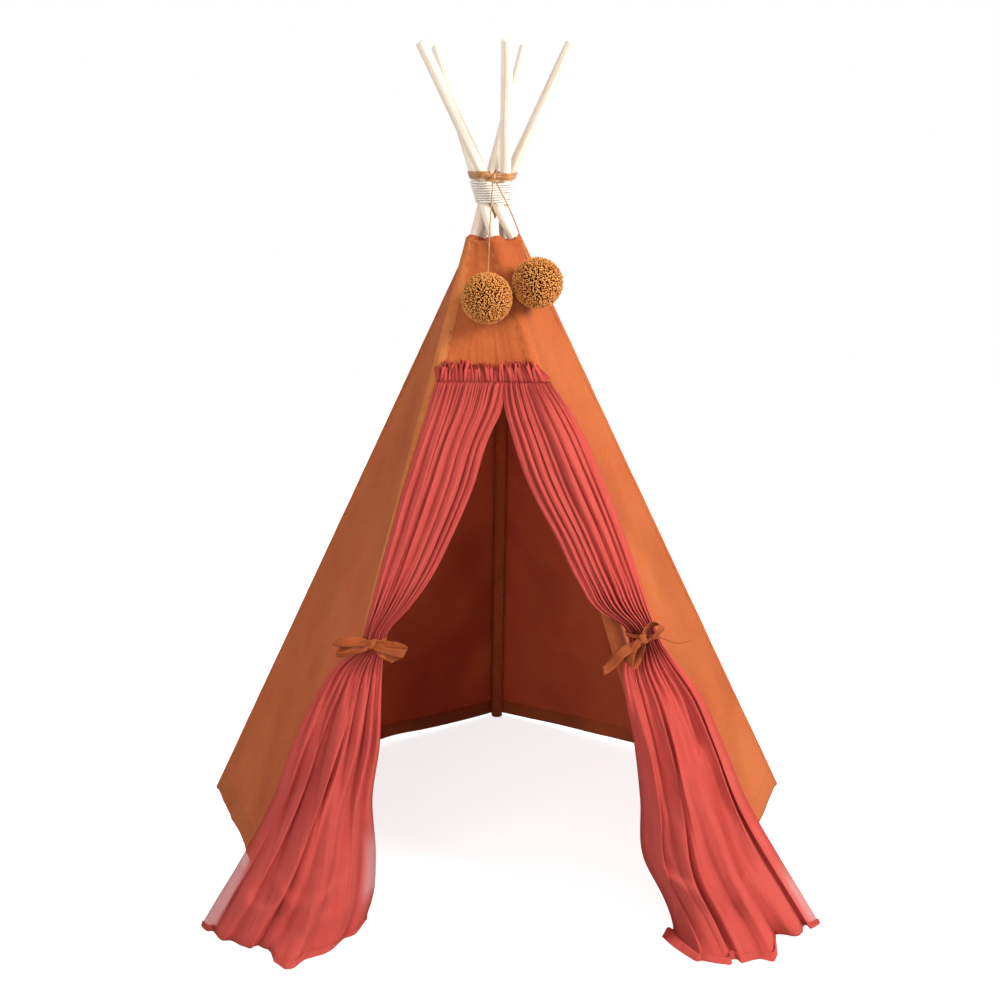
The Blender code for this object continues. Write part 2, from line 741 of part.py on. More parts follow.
def build_lashing(rope, suede):
    points = winding(CROSSING_HEIGHT, ROPE_PITCH, ROPE_TURNS, ROPE_SPARE)
    tube("lashing_rope", rope, points, ROPE_RADIUS, 1)
    print("least gap between turns of the rope, mm:", round(least_turn_gap(points, 2 * ROPE_RADIUS) * 1000, 2))

    inner = winding(LACE_START, LACE_PITCH, LACE_TURNS, LACE_SPARE)
    outer = winding(LACE_START, LACE_PITCH, LACE_TURNS, LACE_SPARE + LACE)
    half = UP * LACE_WIDTH / 2
    sections = [[a - half, a + half, b + half, b - half] for a, b in zip(inner, outer)]
    swept_solid("suede_lace", suede, sections)
    print("least gap between turns of the lace, mm:", round(least_turn_gap(inner, LACE_WIDTH) * 1000, 2))
    return outer


# Pom-poms: two yarn balls on thin suede cords from the knot in front of the lace.

CORD_STEP = 3 * 2 * POMPOM_CORD_RADIUS

# Ways in which the lace's two cut ends stand from the knot: to the right, to the back and up.
LACE_END_SHARES = ((-0.80, -0.30, 0.52), (0.40, -0.30, 0.87))

# Each cord's route: shares of the way from the knot to the ball, and of the way that it bows out.
CORD_BOW = 0.006
CORD_ROUTE_SHARES = ((0.00, 0.0), (0.22, 0.6), (0.50, 1.0), (0.78, 0.6), (1.00, 0.0))


def knot_centre(lace_points):
    """Middle of the knot: on the front, seated against the outer face of the lace's turns."""
    height = LACE_START + LACE_PITCH * LACE_TURNS / 2
    seats = []
    for here, after in zip(lace_points, lace_points[1:]):
        if here.x <= 0 < after.x and here.y < PLAN_CENTRE.y:
            spot = here.lerp(after, here.x / (here.x - after.x))
            above = max(0, abs(spot.z - height) - LACE_WIDTH / 2)
            if above < KNOT_RADIUS:
                stand_off = math.sqrt((KNOT_RADIUS + CLEARANCE) ** 2 - above**2)
                seats.append(spot.y - stand_off / (after - here).normalized().x)
    return Vector((0, min(seats), height))


def lace_end(name, suede, knot, along):
    """One cut end of the lace: flat, and standing away from the knot."""
    wide = along.cross(UP).normalized().cross(along) * LACE_WIDTH / 2
    thick = along.cross(wide).normalized() * LACE / 2
    sections = []
    for spot in (knot, knot + along * LACE_END_LENGTH):
        sections.append([spot - wide - thick, spot + wide - thick, spot + wide + thick, spot - wide + thick])
    return swept_solid(name, suede, sections)


def build_knot(knot, suede):
    """The lace's knot, with its two ends cut short above the way in which the cords swing."""
    bm = bmesh.new()
    bmesh.ops.create_uvsphere(bm, u_segments=14, v_segments=10, radius=KNOT_RADIUS)
    made = add_object("lace_knot", bm, suede)
    made.location = knot
    ends = []
    for number, way in enumerate(LACE_END_SHARES, 1):
        ends.append(lace_end(f"lace_end_{number}_guide", suede, knot, Vector(way).normalized()))
    fuse(made, ends)


def smooth_route(points, step):
    """Points a step apart on the smooth curve through a route's own points."""
    padded = [2 * points[0] - points[1], *points, 2 * points[-1] - points[-2]]
    smooth = []
    for a, b, c, d in zip(padded, padded[1:], padded[2:], padded[3:]):
        pieces = max(1, round((c - b).length / step))
        for piece in range(pieces):
            t = piece / pieces
            smooth.append(
                (2 * b + (c - a) * t + (2 * a - 5 * b + 4 * c - d) * t**2 + (3 * b - a - 3 * c + d) * t**3) / 2
            )
    return [*smooth, points[-1]]


def build_pompom(name, knot, centre, yarn, suede):
    bm = bmesh.new()
    bmesh.ops.create_uvsphere(bm, u_segments=20, v_segments=12, radius=POMPOM_RADIUS)
    ball = add_object(f"{name}_pompom", bm, yarn)
    direction = (centre - knot).normalized()
    place(ball, centre, -direction)
    start = knot + direction * (KNOT_RADIUS + CLEARANCE)
    end = centre - direction * (POMPOM_RADIUS + CLEARANCE)
    outward = Vector((direction.x, direction.y, 0)).normalized()
    square = (outward - direction * outward.dot(direction)).normalized()
    route = [start.lerp(end, way) + square * CORD_BOW * bow for way, bow in CORD_ROUTE_SHARES]
    points = smooth_route(route, CORD_STEP)
    tube(f"{name}_pompom_cord", suede, points, POMPOM_CORD_RADIUS, 2)
    length = sum((b - a).length for a, b in zip(points, points[1:]))
    print(name, "pompom centre", [round(v, 4) for v in centre], "knot", [round(v, 4) for v in knot])
    print(name, "pompom cord, mm:", round(length * 1000, 1))


def build_pompoms(knot, yarn, suede):
    """One ball rests on the front panel, the other on the sleeve at the front right corner."""
    build_knot(knot, suede)
    stand_off = CLEARANCE + POMPOM_NAP + POMPOM_RADIUS

    height = CROSSING_HEIGHT - FRONT_POMPOM_DROP
    across = wall_frame(FRONT_SIDE, height)[3] / 2 + FRONT_POMPOM_ACROSS
    centre = wall_point(FRONT_SIDE, height, across, WALL_OUT + stand_off / math.cos(WALL_TILT))
    build_pompom("front", knot, centre, yarn, suede)

    corner = FRONT_SIDE + 1
    turned = lean(corner) * math.cos(CORNER_POMPOM_TURN) + side_step(corner) * math.sin(CORNER_POMPOM_TURN)
    slant = math.sqrt(1 - (math.cos(CORNER_POMPOM_TURN) * math.sin(POLE_TILT)) ** 2)
    centre = pole_point(corner, CROSSING_HEIGHT - CORNER_POMPOM_DROP)
    centre += turned * (SLEEVE_OUTER + stand_off) / slant
    build_pompom("corner", knot, centre, yarn, suede)


for old in list(bpy.data.objects):
    bpy.data.objects.remove(old, do_unlink=True)

pine = material("pale_pine", PALE_PINE, 0.55)
ferrule_metal = material("ferrule_metal", FERRULE_GREY, 0.35, 1.0)
cover_canvas = material("rust_canvas", RUST_CANVAS, 0.9)
curtain_muslin = material("coral_muslin", CORAL_MUSLIN, 0.9)
tie_ribbon = material("rust_ribbon", RUST_RIBBON, 0.85)
cotton_rope = material("cream_rope", CREAM_ROPE, 0.9)
ochre_suede = material("ochre_suede", OCHRE_SUEDE, 0.85)
ochre_yarn = material("ochre_yarn", OCHRE_YARN, 0.95)

build_poles(pine, ferrule_metal)
build_sleeves(cover_canvas)
build_cover(cover_canvas)
build_heading(curtain_muslin)
build_curtain("left_curtain", curtain_muslin, LEFT_CURTAIN_SHARES, -1)
build_curtain("right_curtain", curtain_muslin, RIGHT_CURTAIN_SHARES, 1)
left_bundle = Bundle(LEFT_CURTAIN_SHARES, LEFT_TIE_SHARE, -1)
right_bundle = Bundle(RIGHT_CURTAIN_SHARES, RIGHT_TIE_SHARE, 1)
build_tie("left", tie_ribbon, left_bundle, LEFT_LOOP_SHARES, LEFT_TAIL_SHARES)
build_tie("right", tie_ribbon, right_bundle, RIGHT_LOOP_SHARES, RIGHT_TAIL_SHARES)
lace_outer_points = build_lashing(cotton_rope, ochre_suede)
build_pompoms(knot_centre(lace_outer_points), ochre_yarn, ochre_suede)
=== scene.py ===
"""Kids teepee: the looks of its wood, canvas, muslin, rope and yarn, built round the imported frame."""

import json
import math

import bmesh
import bpy
import numpy as np
from mathutils import Matrix, Vector, noise


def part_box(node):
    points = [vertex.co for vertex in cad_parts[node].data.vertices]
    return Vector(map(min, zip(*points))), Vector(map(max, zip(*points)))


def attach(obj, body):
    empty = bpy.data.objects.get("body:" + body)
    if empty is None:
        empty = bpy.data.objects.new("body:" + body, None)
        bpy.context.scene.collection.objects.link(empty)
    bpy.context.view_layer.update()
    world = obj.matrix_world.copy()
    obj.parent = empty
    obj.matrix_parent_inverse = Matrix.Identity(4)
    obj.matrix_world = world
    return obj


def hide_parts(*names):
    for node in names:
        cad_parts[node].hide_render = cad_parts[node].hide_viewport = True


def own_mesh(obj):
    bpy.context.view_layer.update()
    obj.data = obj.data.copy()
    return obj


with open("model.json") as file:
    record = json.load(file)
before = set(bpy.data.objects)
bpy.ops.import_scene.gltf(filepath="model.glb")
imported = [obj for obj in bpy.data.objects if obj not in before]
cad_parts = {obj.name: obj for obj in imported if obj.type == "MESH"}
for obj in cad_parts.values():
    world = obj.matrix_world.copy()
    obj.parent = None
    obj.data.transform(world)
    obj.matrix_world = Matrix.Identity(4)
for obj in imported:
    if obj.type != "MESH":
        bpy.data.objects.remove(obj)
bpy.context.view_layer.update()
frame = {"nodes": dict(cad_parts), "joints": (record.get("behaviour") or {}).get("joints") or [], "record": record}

# Camera: it stands in front of the doorway, a little above the lashing, and looks slightly down.
# Its place, aim and focal length were fitted to the poles' tops, feet and crossing.

CAMERA_PLACE = Vector((0.0050, -3.2475, 1.4559))
CAMERA_YAW = 0.0016
CAMERA_PITCH = 0.2275
CAMERA_ROLL = -0.0053
FOCAL_PIXELS = 1598.6
PICTURE_PIXELS = 1000

ahead = Vector((math.sin(CAMERA_YAW), math.cos(CAMERA_YAW), -math.tan(CAMERA_PITCH))).normalized()
level_right = Vector((math.cos(CAMERA_YAW), -math.sin(CAMERA_YAW), 0))
level_up = level_right.cross(ahead)
camera_right = level_right * math.cos(CAMERA_ROLL) + level_up * math.sin(CAMERA_ROLL)
camera_up = level_up * math.cos(CAMERA_ROLL) - level_right * math.sin(CAMERA_ROLL)
camera = bpy.data.objects.new("camera", bpy.data.cameras.new("camera"))
bpy.context.scene.collection.objects.link(camera)
camera.data.lens = FOCAL_PIXELS / PICTURE_PIXELS * camera.data.sensor_width
camera_turn = Matrix((camera_right, camera_up, -ahead)).transposed().to_4x4()
camera.matrix_world = Matrix.Translation(CAMERA_PLACE) @ camera_turn
bpy.context.scene.camera = camera

# Poles: five dowels of pale, unvarnished pine, each in two sections that butt in a ferrule.
# They are sanded, cut square and softened at the ends, and cross in a whirl under the rope.

POLE_NAMES = ("back", "left", "front_left", "front_right", "right")
ROD_SIDES = 28
ROD_RING_STEP = 0.03
ROD_END_ROUND = 0.0022
PINE_PALE = (0.84, 0.73, 0.61, 1)
PINE_STREAK = (0.72, 0.57, 0.43, 1)
PINE_RING = (0.62, 0.45, 0.30, 1)
PITH_OFFSET = (0.021, 0.009, 0.0)
GRAIN_SHIFT = 0.05

joints = {joint["name"]: joint for joint in frame["joints"]}
mounts = {mount["name"]: mount for mount in frame["record"]["mounts"]}
UP = np.array((0.0, 0.0, 1.0))


def unit(vector):
    """The same direction, with a length of one."""
    return vector / np.linalg.norm(vector)


class Pole:
    """A pole's straight line, from its foot on the floor to where it crosses the others, and beyond."""

    def __init__(self, name):
        joint = joints[f"{name}_pole_fold"]
        self.name = name
        self.body = f"{name}_pole"
        self.crossing = np.array(joint["pos_m"])
        self.foot = np.array(mounts[f"{name}_foot"]["pos_m"])
        self.direction = unit(self.crossing - self.foot)
        self.across = unit(np.array(joint["axis"]))
        self.square = np.cross(self.direction, self.across)

    def at(self, height):
        """Points of the axis at an array of heights."""
        share = (np.asarray(height, float) - self.foot[2]) / (self.crossing[2] - self.foot[2])
        return self.foot + share[..., None] * (self.crossing - self.foot)

    def extent(self, node):
        """Lowest and highest distance of a node's points up the pole, and their largest one from it."""
        points = np.array([vertex.co for vertex in frame["nodes"][node].data.vertices]) - self.foot
        up = points @ self.direction
        away = np.linalg.norm(points - up[:, None] * self.direction, axis=1)
        return up.min(), up.max(), away.max()


poles = [Pole(name) for name in POLE_NAMES]


def placed_mesh(name, mesh, finish):
    """An object of a mesh, smooth and with one material."""
    mesh.materials.append(finish)
    mesh.shade_smooth()
    piece = bpy.data.objects.new(name, mesh)
    bpy.context.scene.collection.objects.link(piece)
    return piece


def new_piece(name, points, faces, finish):
    """A smooth mesh object of points and faces with one material."""
    mesh = bpy.data.meshes.new(name)
    mesh.from_pydata([tuple(point) for point in points], [], faces)
    return placed_mesh(name, mesh, finish)


def store_vectors(piece, name, values):
    """Keeps one vector for each vertex under a name that the material reads."""
    attribute = piece.data.attributes.new(name, "FLOAT_VECTOR", "POINT")
    attribute.data.foreach_set("vector", np.asarray(values, np.float32).ravel())


def tube_faces(rings, sides):
    """Faces of a closed tube of rings, with both ends filled."""
    faces = []
    for ring in range(rings - 1):
        for side in range(sides):
            after = (side + 1) % sides
            low, high = ring * sides, (ring + 1) * sides
            faces.append((low + side, low + after, high + after, high + side))
    faces.append(tuple(range(sides))[::-1])
    faces.append(tuple((rings - 1) * sides + side for side in range(sides)))
    return faces


def fitted(piece, body=None, node=None):
    """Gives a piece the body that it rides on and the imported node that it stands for."""
    if body:
        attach(piece, body)
    if node:
        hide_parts(node)


def new_material(name):
    """A node material and its empty tree, with the Principled shader joined to the output."""
    made = bpy.data.materials.new(name)
    made.use_nodes = True
    return made, made.node_tree, made.node_tree.nodes["Principled BSDF"]


def feed(tree, socket, value):
    """Links a socket to another one, or sets it to a plain value."""
    if isinstance(value, bpy.types.NodeSocket):
        tree.links.new(value, socket)
    else:
        socket.default_value = value


def add_node(tree, kind, feeds=None, **settings):
    """Adds a node. Feeds go to inputs by name or number, and a setting's _ is a space in an input's name."""
    node = tree.nodes.new(kind)
    for key, value in settings.items():
        label = key.replace("_", " ")
        if label in node.inputs:
            node.inputs[label].default_value = value
        else:
            setattr(node, key, value)
    for place, value in (feeds or {}).items():
        feed(tree, node.inputs[place], value)
    return node


def placed_by(tree, name, scale, offset=(0, 0, 0)):
    """The piece's own coordinates, kept under a name, as a scaled and shifted vector."""
    place = add_node(tree, "ShaderNodeAttribute", attribute_name=name).outputs["Vector"]
    mapped = add_node(tree, "ShaderNodeMapping", {"Vector": place}, Scale=scale, Location=offset)
    return mapped.outputs["Vector"]


def noise_at(tree, place, scale, detail=3.0, roughness=0.5):
    """Smooth noise from 0 to 1."""
    feeds = {"Vector": place, "Scale": scale, "Detail": detail, "Roughness": roughness}
    return add_node(tree, "ShaderNodeTexNoise", feeds).outputs["Fac"]


def ramp_of(tree, value, *stops):
    """Colours or greys at rising places of a value."""
    node = add_node(tree, "ShaderNodeValToRGB", {"Fac": value})
    ramp = node.color_ramp
    while len(ramp.elements) < len(stops):
        ramp.elements.new(1.0)
    for element, (position, colour) in zip(ramp.elements, stops):
        element.position = position
        element.color = colour if isinstance(colour, tuple) else (colour, colour, colour, 1)
    return node.outputs["Color"]


def mixed(tree, how, share, first, second):
    """Mixes two colours: each is a socket or a plain colour, and so is the share a socket or a number."""
    feeds = {0: share, 6: first, 7: second}
    return add_node(tree, "ShaderNodeMix", feeds, data_type="RGBA", blend_type=how).outputs[2]


def counted(tree, how, first, second=0.0):
    """One sum of two numbers, each a socket or plain."""
    return add_node(tree, "ShaderNodeMath", {0: first, 1: second}, operation=how).outputs[0]


def raise_surface(tree, shader, height, distance, strength=1.0):
    """Fine relief that is too small for the mesh: a height from 0 to 1 stands for a distance."""
    bump = add_node(tree, "ShaderNodeBump", {"Height": height}, Strength=strength, Distance=distance)
    tree.links.new(bump.outputs["Normal"], shader.inputs["Normal"])


def set_surface(tree, shader, colour, **values):
    """Feeds the shader's colour and sets or feeds its other sockets; a _ is a space in a socket's name."""
    feed(tree, shader.inputs["Base Color"], colour)
    for label, value in values.items():
        feed(tree, shader.inputs[label.replace("_", " ")], value)


def pine_material():
    """Straight-grained sapwood: soft streaks, thin darker growth lines and a sanded surface."""
    made, tree, shader = new_material("sanded_pale_pine")
    streaks = noise_at(tree, placed_by(tree, "grain", (70, 70, 2.2)), 4.0, 6.0, 0.6)
    colour = ramp_of(tree, streaks, (0.35, PINE_STREAK), (0.60, PINE_PALE))
    rings = add_node(
        tree, "ShaderNodeTexWave", {"Vector": placed_by(tree, "grain", (3.4, 3.4, 0.55), PITH_OFFSET)},
        wave_type="RINGS", rings_direction="Z", Scale=42.0, Distortion=2.6, Detail=2.0, Detail_Scale=1.4,
    )
    line = ramp_of(tree, rings.outputs["Fac"], (0.62, 0.0), (0.98, 0.55))
    colour = mixed(tree, "MIX", line, colour, PINE_RING)
    fading = noise_at(tree, placed_by(tree, "grain", (9, 9, 3)), 1.0, 2.0)
    colour = mixed(tree, "SOFT_LIGHT", 0.5, colour, ramp_of(tree, fading, (0.3, 0.35), (0.7, 0.68)))
    set_surface(tree, shader, colour, Roughness=ramp_of(tree, streaks, (0.3, 0.62), (0.7, 0.48)))
    raise_surface(tree, shader, streaks, 0.0004, 0.5)
    return made


def rod(name, pole, start, end, radius, finish):
    """One section of a pole: a straight dowel whose ends are rounded over, with its grain along it."""
    profile = [(start, radius * 0.4), (start, radius - ROD_END_ROUND)]
    for step in (1, 2, 3):
        bend = math.pi / 2 * step / 3
        rise = ROD_END_ROUND * (1 - math.cos(bend))
        profile.append((start + rise, radius - ROD_END_ROUND * (1 - math.sin(bend))))
    count = max(2, round((end - start) / ROD_RING_STEP))
    low, high = start + ROD_END_ROUND, end - ROD_END_ROUND
    profile += [(low + (high - low) * step / count, radius) for step in range(1, count)]
    profile += [(start + end - along, around) for along, around in profile[4::-1]]
    points, grain = [], []
    for along, around in profile:
        for side in range(ROD_SIDES):
            angle = 2 * math.pi * side / ROD_SIDES
            x, y = around * math.cos(angle), around * math.sin(angle)
            points.append(pole.foot + pole.direction * along + pole.across * x + pole.square * y)
            grain.append((x + GRAIN_SHIFT * poles.index(pole), y, along))
    piece = new_piece(name, points, tube_faces(len(profile), ROD_SIDES), finish)
    store_vectors(piece, "grain", grain)
    piece.data.set_sharp_from_angle(angle=math.radians(50))
    return piece


pine = pine_material()
for pole in poles:
    for part in ("lower", "upper"):
        node = f"{pole.name}_pole_{part}"
        dowel = rod(f"{pole.name}_dowel_{part}", pole, *pole.extent(node), pine)
        fitted(dowel, pole.body, node)

# Ferrules: short drawn aluminium tubes inside the sleeves, pressed on the lower sections' ends.
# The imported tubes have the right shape, and get a brushed finish.

ALUMINIUM = (0.62, 0.63, 0.65, 1)


def drawn_aluminium():
    """Drawn tube: fine scratches along it, in its shade and its gloss."""
    made, tree, shader = new_material("drawn_aluminium")
    place = add_node(tree, "ShaderNodeTexCoord").outputs["Object"]
    mapped = add_node(tree, "ShaderNodeMapping", {"Vector": place}, Scale=(700, 700, 60))
    brushed = noise_at(tree, mapped.outputs["Vector"], 1.0, 4.0)
    colour = mixed(tree, "MULTIPLY", 0.5, ALUMINIUM, ramp_of(tree, brushed, (0.3, 0.7), (0.7, 1.0)))
    gloss = ramp_of(tree, brushed, (0.2, 0.28), (0.8, 0.45))
    set_surface(tree, shader, colour, Metallic=1.0, Roughness=gloss)
    return made


ferrule_finish = drawn_aluminium()
for name in POLE_NAMES:
    finishes = frame["nodes"][f"{name}_ferrule"].data.materials
    finishes.clear()
    finishes.append(ferrule_finish)

# Sleeves: pockets of the cover's own canvas, one round each pole, sewn shut at the floor.
# The cloth is slack on the dowel, so it lies in small drag lines, and its doubled cloth has painted shade, a
# darker copy of the canvas.

SLEEVE_SIDES = 28
SLEEVE_RING_STEP = 0.009
SLEEVE_WALL = 0.0009
SLEEVE_SLACK = 0.0011
CANVAS_LIGHT = (0.705, 0.182, 0.048, 1)
CANVAS_DEEP = (0.625, 0.130, 0.033, 1)
CANVAS_DOUBLED_SHADE = (0.400, 0.090, 0.032, 1)
CANVAS_THREAD_PITCH = 0.00085
CANVAS_SLUB = 0.011
CANVAS_BUMP = 0.0006


def soft_noise(seed, *rows):
    """Smooth noise from -1 to 1 at one to three rows of numbers."""
    shift = Vector((seed * 7.31, seed * 3.17, seed * 5.53))
    level = [np.zeros(len(rows[0]))] * (3 - len(rows))
    return np.array([noise.noise(Vector(place) + shift) for place in np.column_stack([*rows, *level])])


def crossed(rows, columns):
    """Both coordinates of every point of a grid, row by row."""
    return (numbers.ravel() for numbers in np.meshgrid(rows, columns, indexing="ij"))


def woven_height(tree, pitch, slub):
    """Height of a plain weave on the cloth's own coordinates in metres: threads over and under."""
    place = placed_by(tree, "cloth", (1 / pitch, 1 / pitch, 1))
    apart = add_node(tree, "ShaderNodeSeparateXYZ", {0: place})
    turns = (counted(tree, "MULTIPLY", apart.outputs[way], math.pi) for way in range(2))
    warp, weft = (counted(tree, "ABSOLUTE", counted(tree, "SINE", turn)) for turn in turns)
    over = add_node(tree, "ShaderNodeTexChecker", {"Vector": place}, Scale=1.0)
    threads = mixed(tree, "MIX", over.outputs["Fac"], warp, weft)
    thick = noise_at(tree, placed_by(tree, "cloth", (1 / slub, 9 / slub, 1)), 1.0, 2.0)
    thin = noise_at(tree, placed_by(tree, "cloth", (9 / slub, 1 / slub, 1)), 1.0, 2.0)
    slubs = mixed(tree, "MIX", 0.5, thick, thin)
    return mixed(tree, "MIX", 0.45, threads, slubs), slubs


def blended(tree, share, first, second):
    """Mixes the outputs of two shaders."""
    return add_node(tree, "ShaderNodeMixShader", {0: share, 1: first, 2: second}).outputs[0]


def cloth_material(
    name, light, deep, pitch, slub, bump, sheen, through, fuzz, glow, painted_shade_colour, weave_shade=0.35
):
    """Woven cotton: threads and slubs, uneven dye, painted shade in the weave's hollows and in creases, a fuzzy
    sheen, and light let through.
    """
    made, tree, shader = new_material(name)
    height, slubs = woven_height(tree, pitch, slub)
    uneven = noise_at(tree, placed_by(tree, "cloth", (5, 5, 1)), 1.0, 5.0, 0.62)
    colour = ramp_of(tree, uneven, (0.32, deep), (0.64, light))
    colour = mixed(tree, "SOFT_LIGHT", 0.55, colour, ramp_of(tree, slubs, (0.34, 0.22), (0.66, 0.80)))
    # Painted shade: the weave's hollows are darker than the threads' tops.
    colour = mixed(tree, "MULTIPLY", weave_shade, colour, ramp_of(tree, height, (0.0, 0.55), (0.7, 1.0)))
    # Painted shade: darker where the mask marks creases and seams.
    crease = add_node(tree, "ShaderNodeAttribute", attribute_name="crease").outputs["Fac"]
    colour = mixed(tree, "MULTIPLY", crease, colour, painted_shade_colour)
    set_surface(
        tree, shader, colour, Roughness=0.92, Specular_IOR_Level=0.25, Sheen_Weight=sheen,
        Sheen_Roughness=0.45, Sheen_Tint=fuzz,
    )
    raise_surface(tree, shader, height, bump)
    translucent = add_node(tree, "ShaderNodeBsdfTranslucent", Color=glow).outputs[0]
    output = tree.nodes["Material Output"].inputs["Surface"]
    tree.links.new(blended(tree, through, shader.outputs[0], translucent), output)
    return made


CANVAS_FUZZ = (1.0, 0.55, 0.20, 1)
CANVAS_GLOW = (0.66, 0.17, 0.16, 1)
# The colour that multiplies the canvas where it has painted shade in its creases.
CANVAS_CREASE_SHADE = (0.62, 0.50, 0.46, 1)
CANVAS_TINTS = (CANVAS_FUZZ, CANVAS_GLOW, CANVAS_CREASE_SHADE)
CANVAS_WEAVE = (CANVAS_THREAD_PITCH, CANVAS_SLUB, CANVAS_BUMP)

canvas = cloth_material(
    "rust_cotton_canvas", CANVAS_LIGHT, CANVAS_DEEP, *CANVAS_WEAVE, 0.10, 0.30, *CANVAS_TINTS
)
# A darker copy of the canvas: painted shade where the cloth doubles, with little light let through.
shaded_doubled_canvas = cloth_material(
    "doubled_rust_canvas", CANVAS_DEEP, CANVAS_DOUBLED_SHADE, *CANVAS_WEAVE, 0.05, 0.02, *CANVAS_TINTS
)
cover_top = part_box("left_panel")[1].z
sleeve_radius = poles[0].extent("back_pole_sleeve")[2]


def sleeve_points(pole, heights, radius, seed):
    """Rings of the sleeve's cloth, with drag lines that wind round the pole, and its flat coordinates."""
    height, angle = crossed(heights, 2 * math.pi * np.arange(SLEEVE_SIDES) / SLEEVE_SIDES)
    drag = soft_noise(seed, np.cos(angle) * 1.3, np.sin(angle) * 1.3, height * 26 + angle)
    broad = soft_noise(seed + 5, np.cos(angle), np.sin(angle), height * 6)
    rest = radius + SLEEVE_SLACK * (0.45 * drag + 0.55 * broad)
    points = pole.at(height) + pole.across * (rest * np.cos(angle))[:, None]
    points += pole.square * (rest * np.sin(angle))[:, None]
    return points, np.column_stack([angle * radius, height, np.zeros(len(height))])


def slid_to(pole, ring, height):
    """A ring of points, each slid along the pole to one height."""
    return ring - np.outer((ring[:, 2] - height) / pole.direction[2], pole.direction)


def sleeve(pole):
    """The pocket's outer and inner cloth, joined at its turned top edge, and the floor of the pocket."""
    seed = 11 + poles.index(pole)
    steps = round(cover_top / SLEEVE_RING_STEP)
    heights = cover_top * np.arange(steps + 1) / steps
    outer, outer_cloth = sleeve_points(pole, heights, sleeve_radius, seed)
    inner, inner_cloth = sleeve_points(pole, heights[::-1], sleeve_radius - SLEEVE_WALL, seed)
    outer[:SLEEVE_SIDES] = slid_to(pole, outer[:SLEEVE_SIDES], 0.0)
    inner[-SLEEVE_SIDES:] = slid_to(pole, inner[-SLEEVE_SIDES:], 2 * SLEEVE_WALL)
    faces = tube_faces(2 * len(heights), SLEEVE_SIDES)
    piece = new_piece(f"{pole.name}_sleeve_cloth", np.vstack([outer, inner]), faces, shaded_doubled_canvas)
    store_vectors(piece, "cloth", np.vstack([outer_cloth, inner_cloth]))
    return piece


for pole in poles:
    fitted(sleeve(pole), pole.body, f"{pole.name}_pole_sleeve")

# Cover: five panels of the same canvas, lapped on the sleeves and topstitched beside them.
# The cloth hangs from the lashed top, so it is taut there, sags a little lower down and ripples at the hem.

SIDE_NAMES = ("back_left", "left", "front", "right", "back_right")
PANEL_COLUMNS = 84
PANEL_ROW_STEP = 0.0062
PANEL_WALL = 0.0009
SEAM_LIFT = 0.0007
SAG = 0.006
HANGING_FOLD = 0.0075
DRAG_LINE = 0.0036
BACK_DRAG_LINE = 0.0110
SEAM_PUCKER = 0.0008
PUCKER_PITCH = 0.021
PUCKER_REACH = 0.018
SEAM_LAP = 0.011
CREASE_RIDGE = 0.0011
HEM_RIPPLE = 0.0032
HEM_RIPPLE_REACH = 0.16
HEM_LIFT = 0.010
HEM_STITCH_INSET = 0.004
HEM_GROOVE = 0.0007
HEM_GROOVE_HALF = 0.004
DOORWAY_GATHER = 0.0035
DOORWAY_GATHER_REACH = 0.06
TOP_EDGE_DIP = 0.0045
TOP_GROOVE = 0.0006
TOP_GROOVE_DROP = 0.011
TOP_GROOVE_HALF = 0.0035
WALL_FOOT = 0.006
HEM_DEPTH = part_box("left_hem")[1].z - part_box("left_hem")[0].z
FRONT_HEM_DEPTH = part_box("front_hem")[1].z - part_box("front_hem")[0].z
heading_seam = (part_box("gathering_tape")[0].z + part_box("gathering_tape")[1].z) / 2
wall_out = sleeve_radius / poles[0].direction[2]


